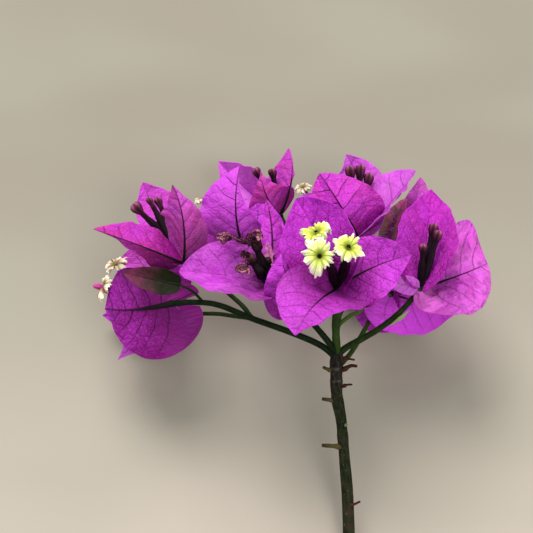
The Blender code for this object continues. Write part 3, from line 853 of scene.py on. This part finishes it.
lowerLeftBloom = {
    "foot": (-56, -2, 15.5),
    "bracts": [
        bractShape((-68, -2, 13.5), (-79.5, 6, 13.5), 18.5, -17, -12, 0.4, 11, tone=0.25, inner=-1, rib=2.2,
                   crinkle=1.6, halves=(0.98, 0.78), wides=(0.36, 0.46), blunt=(1.3, 0.45), heel=(5, 0.1),
                   sweep=(3.5, 0), lines=1.1),
        bractShape((-64.5, 18, 24.5), (-72, 22, 34.5), 12, -20, 10, 0.6, 0, tone=0.75, pale=0.35, blush=0.5,
                   lines=0.15),
        bractShape((-65.5, 16, 6), (-76.5, 18, -5), 9, -20, -20, 0.36, 0, tone=0.85, pale=0.4,
                   blunt=(1.5, 1.5), lines=0.3),
    ],
    "flowers": [
        flowerShape((-76, 6, 29), "star", (0, 6, 0), (-0.2, -0.55, 0.7), 3.8, tone=1),
        flowerShape((-80.5, 8, 21.5), "star", (0, 6, 0), (-0.85, -0.35, 0.45), 4.4, tone=1),
        flowerShape((-84, 10, 21.5), "bud", (0, 6, 0), tone=1, girth=0.68),
    ],
}
makeBloom("lower_left_bloom", lowerLeftBloom)

backLeftBloom = {
    "foot": (-55.5, 20, 10),
    "bracts": [
        bractShape((-69.5, 29, 9), (-83, 30, 10.5), 9, 20, 20, 0.36, 3, tone=0.6, halves=(0.55, 1),
                   lines=0.4),
        bractShape((-58.5, 31, 3.5), (-61.5, 35.5, -0.5), 7, 20, 20, 0.4, 2, lines=0.4),
        bractShape((-60.5, 34, 19.5), (-63, 37, 32.5), 13, 20, 20, 0.4, 1, lines=0.4),
    ],
}
makeBloom("back_left_bloom", backLeftBloom)

innerLeftBloom = {
    "foot": (-32.5, 8, 36),
    "bracts": [
        bractShape((-34.5, 1, 48.5), (-33, 4, 62.5), 14.5, -37, -30, 0.42, 3, tone=0.95, pale=0.2,
                   halves=(1, 0.66), wides=(0.42, 0.2), blunt=(1, 1.9), crinkle=0.8, lines=0.85),
        bractShape((-39.5, 20, 38), (-46.5, 28, 40.5), 9, 20, 20, 0.36, 3, tone=0.45, lines=0.5),
        bractShape((-27.5, 13, 43.5), (-27.5, 14, 50), 11, 10, 10, 0.36, 3, tone=0.85, pale=0.1, lines=0.5),
    ],
    "flowers": [
        flowerShape((-46.5, 14, 52), "star", (0, 0, 0), (-0.3, -0.3, 0.9), 3, tone=1),
    ],
}
makeBloom("inner_left_bloom", innerLeftBloom)

backTopBloom = {
    "foot": (-19, 26, 46),
    "bracts": [
        bractShape((-15, 24, 59.5), (-16, 28, 70.5), 12, -52, -60, 0.45, 3, tone=0.75, pale=0.15, blush=0.6,
                   halves=(1, 0.05), wides=(0.6, 0.45), lines=0.15),
        bractShape((-30, 36, 55), (-41.5, 38, 66.5), 13, 25, 50, 0.5, 0, tone=0.85, pale=0.6, halves=(0.7, 1),
                   blunt=(1.3, 1.2), lines=0.1),
        bractShape((-24, 18, 53), (-26, 16, 62), 11, -40, -30, 0.33, 3, tone=1.0, pale=0.15, blush=0.75,
                   crinkle=0.25, wides=(0.24, 0.33), blunt=(1.7, 1.8), lines=0.3),
    ],
    "flowers": [
        flowerShape((-28, 22, 63), "bud"),
        flowerShape((-22, 25, 63), "bud"),
    ],
}
makeBloom("back_top_bloom", backTopBloom)

# the shrivelled lobes of the two withered flowers in front
upperLobes = [
    {"route": [(-27.7, -20.5, 36.4), (-30, -21, 36.2), (-32.6, -21.5, 36.5), (-34.9, -21.8, 37.8),
               (-36.8, -21.5, 38.5), (-38.5, -21, 37.7), (-39.6, -20.5, 37.2)], "girth": 0.78},
    {"route": [(-35.2, -21.5, 38), (-36.5, -22, 36.8), (-37.8, -21.5, 36.2), (-39, -21, 36.7)], "girth": 0.6},
    {"route": [(-29.3, -20.8, 34.7), (-29.8, -21, 37.3), (-28.5, -21.5, 39.1), (-26.7, -21.5, 39.1),
               (-25.9, -21, 37)], "girth": 0.8},
]
lowerLobes = [
    {"route": [(-29.6, -23, 31.8), (-31.4, -23.8, 32.4), (-31.7, -24.3, 31.1), (-30.3, -24.8, 29.8),
               (-30.4, -24.8, 28.5), (-32.2, -24.8, 28.2), (-33.2, -24.3, 27.2), (-31.6, -24.8, 26.8),
               (-30.1, -24.8, 27.4), (-30.1, -24.2, 25.9)], "girth": 0.72},
]

witheredBloom = {
    "foot": (-23.5, -10, 22),
    "bracts": [
        bractShape((-38, -14, 25), (-53, -12, 26.5), 13.5, 64, 4, 0.5, 1, tone=0.62, pale=0.28, crumple=0.5,
                   crinkle=2.2, rib=0.25, halves=(1.25, 0.92), wides=(0.36, 0.52), blunt=(1, 1.35),
                   lines=0.2),
        bractShape((-22, -3, 37), (-24, 0, 51), 4.8, -25, -25, 0.36, 1, tone=0.6, blush=0.3, rib=1.5,
                   lines=0.7),
        bractShape((-23, -6, 31.5), (-24, -5, 36), 1.6, 20, 20, 0.5, 1, tone=0.25, pale=0.1, young=0.5,
                   lines=0.1),
    ],
    "flowers": [
        flowerShape((-28, -19, 38), "withered", girth=1.3, by=[(-24.5, -15.5, 26.6), (-26.4, -18, 31.8)],
                    limbs=upperLobes),
        flowerShape((-30, -22, 32), "withered", girth=1.2, by=[(-25.3, -18, 25.3), (-27.6, -21, 28.4)],
                    limbs=lowerLobes),
        flowerShape((-24, -15, 31), "withered", girth=1.1, by=[(-23.3, -14, 26.6)]),
    ],
}
makeBloom("withered_bloom", witheredBloom)

centreBloom = {
    "foot": (-12.5, -13, 13),
    "bracts": [
        bractShape((-17, -23, 22.5), (-19, -24, 32.5), 11.5, -12, -68, 0.27, 1, tone=0.55,
                   halves=(0.84, 0.69), lines=0.5),
        bractShape((-8.5, -8, 17), (-5.5, -6, 21), 7, 10, 10, 0.4, 1, tone=0.3, lines=0.5),
        bractShape((-12.5, -7, 19), (-11.5, -4, 25), 7, 10, 10, 0.4, 1, tone=0.3, lines=0.5),
    ],
}
makeBloom("centre_bloom", centreBloom)

frontBloom = {
    "foot": (-1, -16, 20.5),
    "bracts": [
        bractShape((-9.5, -35, 15), (-15, -42.5, 6.5), 14.5, 40, -28, 0.32, 4, pale=0.08, lines=0.45,
                   blunt=(1.25, 1)),
        bractShape((10.5, -18, 27.5), (23.5, -20, 32), 12.5, -5, 26, 0.45, 3, tone=0.46, halves=(0.9, 1),
                   blunt=(1.1, 1.2), rib=1.5, lines=0.55),
        bractShape((-6, -7, 36.5), (-14, -2, 51), 15.5, 35, 36, 0.42, 3, tone=0.6, inner=-1, halves=(1.22, 1),
                   wides=(0.33, 0.42), lines=0.5),
    ],
    "flowers": [
        flowerShape((-7, -31, 31.5), "star", (0, 0, 0), (0, -1, 0.15), 5.6,
                    by=[(-2.3, -20, 24.3), (-3.2, -26, 28)], girth=1.15),
        flowerShape((-8, -20, 39.5), "star", (0, 0, 0), (-0.5, -0.6, 0.7), 5.4,
                    by=[(-3, -18, 28), (-5, -18, 34)], yellow=1, anthers=2),
        flowerShape((2.5, -29, 34.5), "star", (0, 0, 0), (0.2, -0.8, 0.5), 5.4,
                    by=[(1, -19.5, 25.6), (1.8, -25, 30)], girth=1.25, yellow=0.5, anthers=5),
    ],
}
makeBloom("front_bloom", frontBloom)

upperRightBloom = {
    "foot": (7, 0, 38),
    "bracts": [
        bractShape((1.5, -6, 47.5), (-6, -2, 59.5), 15.5, -30, -28, 0.45, 4, tone=0.63, blush=0.5,
                   halves=(0.82, 0.95), wides=(0.5, 0.4), blunt=(1, 0.75), sweep=(0, -3), inner=-1, rib=1.5,
                   lines=0.9),
        bractShape((9, 22, 54.5), (4.5, 24, 68), 11, 20, 20, 0.4, 3, tone=0.8, pale=0.5, lines=0.4),
        bractShape((18, 6, 49), (27.5, 7, 61), 12.7, -45, 84, 0.5, 3, tone=0.7, pale=0.4, crinkle=1.6,
                   lines=0.45),
    ],
    "flowers": [
        flowerShape((5, 12, 63), "bud", (0, 6, 0), girth=1.15),
        flowerShape((9, 13, 63.5), "bud", (0, 6, 0), girth=1.15),
        flowerShape((12, 12, 60.5), "bud", (0, 6, 0), girth=1.15),
    ],
}
makeBloom("upper_right_bloom", upperRightBloom)

rightBloom = {
    "foot": (27.5, -8, 20.5),
    "bracts": [
        bractShape((30.5, 0, 38.5), (32.5, 3, 54.5), 15.5, 36, 46, 0.35, 3, tone=0.7, blush=0.35,
                   halves=(1, 0.95), wides=(0.35, 0.44), blunt=(1, 1.5), sweep=(0, 2.4), lines=0.3),
        bractShape((40, -2, 24.5), (51.5, 2, 29), 18, -22, 30, 0.5, 7, tone=0.85, pale=0.42, blush=0.35,
                   crumple=1, crinkle=4, ripple=0.8, halves=(0.98, 0.85), wides=(0.5, 0.46),
                   blunt=(0.4, 1.05), sweep=(0, -0.5), flare=(4, 0), rib=1.6, lines=0.6),
        # the third bract is made palest and brightest: painted light against the shadow that falls on it
        bractShape((22, -12, 22), (15.5, -13, 23), 3.2, -4, -4, 0.42, 0, tone=1.0, pale=0.65, crinkle=0.3,
                   ripple=0.2, rib=0.4, lines=0.3),
    ],
    "flowers": [
        flowerShape((28, -13, 35.5), "bud", girth=0.95),
        flowerShape((33.5, -11, 40), "bud", girth=1.1),
        flowerShape((32.5, -6, 42.5), "bud", girth=1.1),
    ],
}
makeBloom("right_bloom", rightBloom)

lowerRightBloom = {
    "foot": (20, 18, 18.5),
    "bracts": [
        bractShape((32, 22, 15), (44.5, 22, 13), 15.5, 10, 28, 0.3, 13, tone=0.95, pale=0.1, halves=(0.62, 1),
                   lines=0.4),
        bractShape((20, 32, 27), (16, 44.5, 32), 11, 20, 20, 0.36, 3, tone=0.4, lines=0.5),
        bractShape((15.5, 24, 12), (11.5, 26, 5.5), 9, 20, 20, 0.5, 3, tone=0.45, lines=0.4),
    ],
}
makeBloom("lower_right_bloom", lowerRightBloom)

youngBloom = {
    "foot": (18.5, 14, 34),
    "bracts": [
        bractShape((26.5, 16, 46), (30.5, 20, 59.5), 9, 20, 20, 0.4, 3, tone=0.45, halves=(0.6, 0.78),
                   pale=0.12, young=0.08, blush=0.4, lines=0.12),
        bractShape((21, 13.5, 44), (25, 13, 52), 5, 10, 28, 0.42, 1, tone=0.6, young=1, crinkle=1.5,
                   blunt=(1.4, 1.4), rib=0.4, hairs=110, lines=0.1),
        bractShape((23, 34, 39.5), (26.5, 48, 44.5), 11, 20, 20, 0.36, 3, tone=0.4, young=0.3, lines=0.5),
    ],
}
makeBloom("young_bloom", youngBloom)

backMiddleBloom = {
    "foot": (-1.5, 24, 38),
    "bracts": [
        bractShape((-6.5, 20, 46), (-11, 20, 53.5), 11, 20, 20, 0.4, 3, tone=0.8, pale=0.4, lines=0.3),
        bractShape((3, 38, 48), (5.5, 51, 54), 11, 20, 20, 0.36, 3, lines=0.4),
        bractShape((6.5, 36, 39.5), (15, 44, 42.5), 11, 20, 20, 0.36, 3, lines=0.4),
    ],
    "flowers": [
        flowerShape((-11, 24, 56.5), "star", (0, 0, 0), (-0.2, -0.6, 0.8), 2.8, tone=1),
    ],
}
makeBloom("back_middle_bloom", backMiddleBloom)
print("blooms made")


# ---- stem and stalks ----

stem = {
    "route": [(5, 12, -76), (4.1, 8.5, -52.5), (3, 5.8, -40), (2.2, 4, -31), (1.5, 2.8, -24),
              (0.1, 1.5, -16.5), (-0.2, 0.8, -10), (0, 0, -1)],
    "girth": [(0.0, 2.1), (0.22, 2.0), (0.38, 1.8), (0.44, 1.95), (0.5, 1.8), (0.6, 1.9), (0.68, 2.1),
              (0.74, 1.95), (0.82, 2.15), (0.88, 2.05), (0.945, 2.4), (0.985, 2.1), (1.0, 1.5)],
    "rings": [0.84, 0.91],  # where along the stem
    "ringHeight": 0.13,
    "ringWidth": 0.007,
    "lumps": [(0.05, 3, 9), (0.035, 9, 60)],  # how far, and how often round it and along it
    "columns": 48,
    "rows": 220,
}


def makeStem():
    def radiusAt(v, angle):
        radius = profileAt(stem["girth"], v)
        radius += sum(reach * roughAt(angle, rate, v * along) for reach, rate, along in stem["lumps"])
        return radius + sum(stem["ringHeight"] * hill(v - ring, stem["ringWidth"]) for ring in stem["rings"])

    return sheetObject("stem", tubeSheet(stem["route"], radiusAt, stem["columns"], stem["rows"]), barkSkin)


stubs = {
    "thinRight": {"route": [(1, 0, -3), (3, -0.3, -3.2), (6, -1, -3.6)], "girth": (0.5, 0.3),
                  "skin": "brown"},
    "forked": {"route": [(1, 0, -7.5), (2.6, -0.6, -6.8), (4.6, -1.4, -5.6), (6.7, -2, -5.7)],
               "girth": (0.75, 0.5), "skin": "brown"},
    "olive": {"route": [(-1, 0, -7.5), (-3, -0.5, -6.9), (-4.8, -1, -6.1)], "girth": (0.65, 0.5),
              "skin": "olive"},
    "curved": {"route": [(1, 1, -13.5), (2.4, 0.6, -12.6), (3.8, -0.3, -12.1), (5.1, -1, -12)],
               "girth": (0.5, 0.3), "skin": "brown"},
    "shortOlive": {"route": [(0, 2, -18), (-2, 1, -17.5), (-5, 0, -17)], "girth": (0.75, 0.6),
                   "skin": "olive"},
    "long": {"route": [(2.5, 4, -34), (-0.5, 3, -33.4), (-5, 2, -33)], "girth": (0.8, 0.65), "skin": "olive"},
    "low": {"route": [(4, 8, -54.5), (6, 7, -54), (8.3, 6, -52.8)], "girth": (0.6, 0.3), "skin": "brown"},
}


def makeStub(stub, index):
    first, last = stub["girth"]

    def radiusAt(v, angle):
        rough = roughAt(angle, 2, v * 6 + index * 5)
        foot = 0.3 * hill(v - 0.38, 0.12)
        return first + (last - first) * v + foot + 0.12 * rough - 0.12 * max(0, v - 0.9) / 0.1 * last

    return sheetObject("stub", tubeSheet(stub["route"], radiusAt, 14, 24), stubSkins[stub["skin"]])


stalks = {
    "centre_stalk": {"route": [(0, 0.3, -2), (-0.5, -3, 6), (0, -7, 10.5), (-1, -16, 20.5)],
                     "girth": (1.45, 1.0), "tone": 0.45},
    "right_stalk": {"route": [(0, 0, -2), (3.5, -1, 0.8), (9, -3, 4), (14.5, -5, 7.5), (21, -7.5, 13),
                              (27.5, -8, 20.5)], "girth": (1.2, 0.9), "tone": 0.3},
    "left_stalk": {"route": [(0, 0, -3), (-6, -0.5, 1.5), (-16.5, -1.5, 6), (-29, -2, 10.5), (-40, -4, 15),
                             (-48, -5, 16), (-56, -2, 15.5)], "girth": (1.15, 0.9), "tone": 0.1},
    "centre_left_stalk": {"route": [(0, 0, -2), (-3, -2.5, 2.5), (-8.5, -5, 9), (-12.5, -13, 13)],
                          "girth": (1.2, 0.85), "tone": 0.1},
    "back_stalk": {"route": [(0, 0, -1), (-0.5, 8, 8), (0.5, 16, 16.5), (0.5, 21, 27), (-1.5, 24, 38)],
                   "girth": (1.0, 0.8), "tone": 0.4},
    "back_right_stalk": {"route": [(0, 0, -6.5), (5, 4, -1.5), (10, 10, 6), (14, 15, 12.5), (20, 18, 18.5)],
                         "girth": (0.9, 0.75), "tone": 0.5},
    "upper_left_pedicel": {"route": [(-29, -2, 10.5), (-32, 0.5, 14.5), (-36, 3, 18), (-43, 3, 24),
                                     (-52, -3, 29)], "girth": (0.85, 0.7), "tone": 0.25},
    "back_left_pedicel": {"route": [(-29, -2, 10.5), (-35.5, 1.5, 11.2), (-41, 5, 11.8), (-48, 11, 11.5),
                                    (-55.5, 20, 10)], "girth": (0.75, 0.7), "tone": 0.25},
    "withered_pedicel": {"route": [(-5, -3.5, 5), (-11, -1.5, 11), (-18, -4, 17), (-23.5, -10, 22)],
                         "girth": (0.8, 0.7), "tone": 0.2},
    "inner_left_pedicel": {"route": [(-0.1, 12, 12.3), (-9, 11, 19), (-20, 10, 27), (-32.5, 8, 36)],
                           "girth": (0.75, 0.7), "tone": 0.3},
    "back_top_pedicel": {"route": [(0.5, 16, 16.5), (-6, 21, 27), (-14, 24.5, 38), (-19, 26, 46)],
                         "girth": (0.75, 0.7), "tone": 0.3},
    "upper_right_pedicel": {"route": [(0, -7, 10.5), (2.5, -2, 16), (5, 0, 26), (7, 0, 38)],
                            "girth": (0.8, 0.7), "tone": 0.4},
    "young_pedicel": {"route": [(-0.3, -5, 8), (4.5, -3, 11.5), (8, 2, 13), (13.5, 9, 21), (18.5, 14, 34)],
                      "girth": (0.7, 0.65), "tone": 1.0},
}


swelling = {"atBloom": 0.28, "atFork": 0.2, "reach": 0.05}


def makeStalk(name, stalk):
    first, last = stalk["girth"]

    def radiusAt(v, angle):
        swollen = swelling["atBloom"] * hill(1 - v, swelling["reach"])
        swollen += swelling["atFork"] * hill(v, swelling["reach"])
        return (first + (last - first) * v) * (1 + swollen + 0.05 * roughAt(angle, 2, v * 20))

    looks = (stalk["tone"], 0, 0, 1)
    return sheetObject(name, tubeSheet(stalk["route"], radiusAt, 20, 70), stalkSkin, looks=looks)


def makeBarkMaterial():
    material, tree, shader = newMaterial("barkSkin", 0.75, 0.1)
    _, v, _ = partsOf(uvOf(tree, "surface"))
    spot = uvOf(tree, "size")
    streaks = cloudAt(stretched(spot, (1.0, 0.12, 1)), 2.2, 4)
    blotch = cloudAt(spot, 0.35, 3)
    colour = blended(eased(streaks, 0.35, 0.65), (0.005, 0.009, 0.003, 1), (0.020, 0.026, 0.009, 1))
    colour = blended(eased(blotch, 0.45, 0.7), colour, (0.034, 0.024, 0.012, 1))
    old = eased(v, 0.74, 0.84)
    greyed = blended(eased(streaks, 0.3, 0.7), (0.007, 0.004, 0.004, 1), (0.034, 0.026, 0.021, 1))
    colour = blended(times(old, 0.85), colour, greyed)
    for ring in stem["rings"]:
        band = eased(calc("ABSOLUTE", calc("SUBTRACT", v, ring)), 0.002, 0.012, 0.6, 0)
        band = times(band, eased(cloudAt(spot, 0.9, 3), 0.4, 0.62, 0.1, 1))
        colour = blended(band, colour, (0.13, 0.12, 0.10, 1))
    pores = eased(cellsAt(spot, 0.9, "F1"), 0.10, 0.2, 0.7, 0)
    colour = blended(pores, colour, (0.10, 0.085, 0.055, 1))
    dress(shader, colour, bumpOf(calc("ADD", streaks, pores), 0.6, 0.0003))
    return material


def makeStalkMaterial():
    material, tree, shader = newMaterial("stalkSkin", 0.5, 0.06)
    tone, pale, _, _ = looksOf(tree)
    spot = uvOf(tree, "size")
    cloud = cloudAt(spot, 0.4, 3)
    share = swayed(tone, cloud, 0.6)
    colour = blended(eased(share, 0, 1), (0.003, 0.009, 0.003, 1), (0.055, 0.11, 0.014, 1))
    fine = cloudAt(spot, 3.0, 2)
    colour = blended(eased(fine, 0.5, 0.8, 0, 0.4), colour, (0.03, 0.035, 0.015, 1))
    colour = blended(pale, colour, (0.34, 0.42, 0.17, 1))
    dress(shader, colour, bumpOf(fine))
    return material


barkSkin = makeBarkMaterial()
stalkSkin = makeStalkMaterial()
stubSkins = {
    "brown": makeAlongMaterial("brownStub", [
        (0, (0.02, 0.02, 0.01)), (0.4, (0.06, 0.02, 0.012)), (1, (0.035, 0.012, 0.01))], 0.7, grain=0.6),
    "olive": makeAlongMaterial("oliveStub", [
        (0, (0.03, 0.045, 0.015)), (0.5, (0.08, 0.065, 0.022)), (1, (0.04, 0.025, 0.01))], 0.7, grain=0.6),
}

stipule = {
    "route": [(17.4, -7.5, 8.3), (19.6, -8.6, 10.0), (21.6, -9.2, 11.5), (23.8, -8.8, 13.5)],
    "girth": [(0, 0.15), (0.2, 0.5), (0.55, 0.85), (1, 0.15)],
}


def makeStipule():
    def radiusAt(v, angle):
        return profileAt(stipule["girth"], v) * (1 - 0.55 * math.cos(angle) ** 2)

    return sheetObject("stipule", tubeSheet(stipule["route"], radiusAt, 16, 30), stalkSkin,
                       looks=(1, 0.75, 0, 1))


scar = makeBall(Vector((3.1, 1.4, -26)), 0.65, stalkSkin, (0.8, 0.3, 0, 1))
joined("main_stem_bark", [makeStem(), scar] + [makeStub(stub, i) for i, stub in enumerate(stubs.values())],
       ["main_stem"])
for name, stalk in stalks.items():
    parts = [makeStalk(name, stalk)] + ([makeStipule()] if name == "right_stalk" else [])
    joined(name + "_skin", parts, [name])
print("stem and stalks made")


# ---- the small leaf ----

leafLook = {
    "petiole": [(-45, -4.7, 15.7), (-48.5, -8, 19.5), (-53, -10, 22)],
    "blade": bractShape((-63, -10, 24), (-72, -8, 26), 4.6, 12, 12, 0.35, 1, tone=0.1, inner=0.25,
                        crinkle=0.5, ripple=0.4),
    "green": (0.008, 0.009, 0.002, 1),
    "purple": (0.14, 0.022, 0.06, 1),
}


def makeLeafMaterial():
    material, tree, shader = newMaterial("leafSkin", 0.55, 0.08)
    surface, size = uvOf(tree, "surface"), uvOf(tree, "size")
    vein = useGroup(veinGroup, Surface=surface, Size=size, Seed=3.0, Rise=0.8)
    _, v, _ = partsOf(surface)
    cloud = cloudAt(size, 0.3, 3)
    share = swayed(v, cloud, 0.8)
    colour = blended(eased(share, 0.2, 1), leafLook["green"], leafLook["purple"])
    lines = calc("MAXIMUM", vein["Veins"], times(vein["Net"], 0.4))
    colour = blended(times(lines, 0.35), colour, (0.008, 0.01, 0.003, 1))
    dress(shader, colour, bumpOf(vein["Height"]))
    return material


def makeLeaf():
    leafSkin = makeLeafMaterial()
    blade, rib = makeBract(Vector(leafLook["petiole"][-1]), leafLook["blade"])
    blade.data.materials[0] = leafSkin
    rib.data.materials[0] = stalkSkin
    stalk = tubeSheet(leafLook["petiole"], lambda v, angle: 0.5 - 0.1 * v, 12, 24)
    petiole = sheetObject("petiole", stalk, stalkSkin, looks=(0.2, 0, 0, 1))
    joined("small_leaf_blade", [blade, rib, petiole], ["small_leaf"])


makeLeaf()
print("leaf made")


# ---- stage ----

stage = {
    "floor": [(0.44, 0.385, 0.315, 1), (0.25, 0.222, 0.172, 1)],  # nearer and further; the nearer is painted lighter, painted light against the lamps' falloff and the sprig's shadow on the floor
    "floorBlotch": (0.30, 0.29, 0.22, 1),
    "world": (0.95, 0.97, 1.0, 1),
    "worldStrength": 0.55,
    "lens": 100,
    "camera": (-23.97, -503.4, 28.05),
    "target": (-15, 0, 25),
    "lamps": [
        {"at": (-300, -1000, 1400), "size": 900, "power": 37.5},
        {"at": (500, -1400, -100), "size": 700, "power": 9.0},
    ],
}


def makeFloorMaterial():
    material, tree, shader = newMaterial("floorPaint", 0.9)
    spot = nodeOf("TexCoord", {}, tree)["Object"]
    _, y, _ = partsOf(spot)
    near, far = stage["floor"]
    # painted light: the near part of the floor is lighter than the far part
    colour = blended(eased(y, -0.11, 0.10), near, far)
    blotch = eased(cloudAt(stretched(spot, (9, 22, 1)), 1, 1), 0.35, 0.65, 0, 0.4)
    dress(shader, blended(blotch, colour, stage["floorBlotch"]))
    return material


def makeStage():
    bpy.ops.mesh.primitive_plane_add(size=6)
    floor = bpy.context.object
    floor.name = "floor"
    floor.data.materials.append(makeFloorMaterial())
    world = bpy.data.worlds.new("studio")
    world.use_nodes = True
    world.node_tree.nodes["Background"].inputs["Color"].default_value = stage["world"]
    world.node_tree.nodes["Background"].inputs["Strength"].default_value = stage["worldStrength"]
    bpy.context.scene.world = world
    target = place @ (Vector(stage["target"]) * mm)
    for i, lamp in enumerate(stage["lamps"]):
        data = bpy.data.lights.new(f"softbox{i}", "AREA")
        data.size = lamp["size"] * mm
        data.energy = lamp["power"]
        light = bpy.data.objects.new(f"softbox{i}", data)
        at = place @ (Vector(lamp["at"]) * mm)
        facing = (target - at).to_track_quat("-Z", "Y").to_matrix().to_4x4()
        light.matrix_world = Matrix.Translation(at) @ facing
        bpy.context.scene.collection.objects.link(light)
    camera = bpy.data.objects.new("camera", bpy.data.cameras.new("camera"))
    camera.data.lens = stage["lens"]
    camera.data.sensor_width = 36
    camera.data.clip_start = 0.01
    at = Matrix.Translation(Vector(stage["camera"]) * mm)
    camera.matrix_world = place @ at @ Matrix.Rotation(math.pi / 2, 4, "X")
    bpy.context.scene.collection.objects.link(camera)
    bpy.context.scene.camera = camera
    bpy.context.scene.view_settings.view_transform = "Standard"


makeStage()
print("stage made")
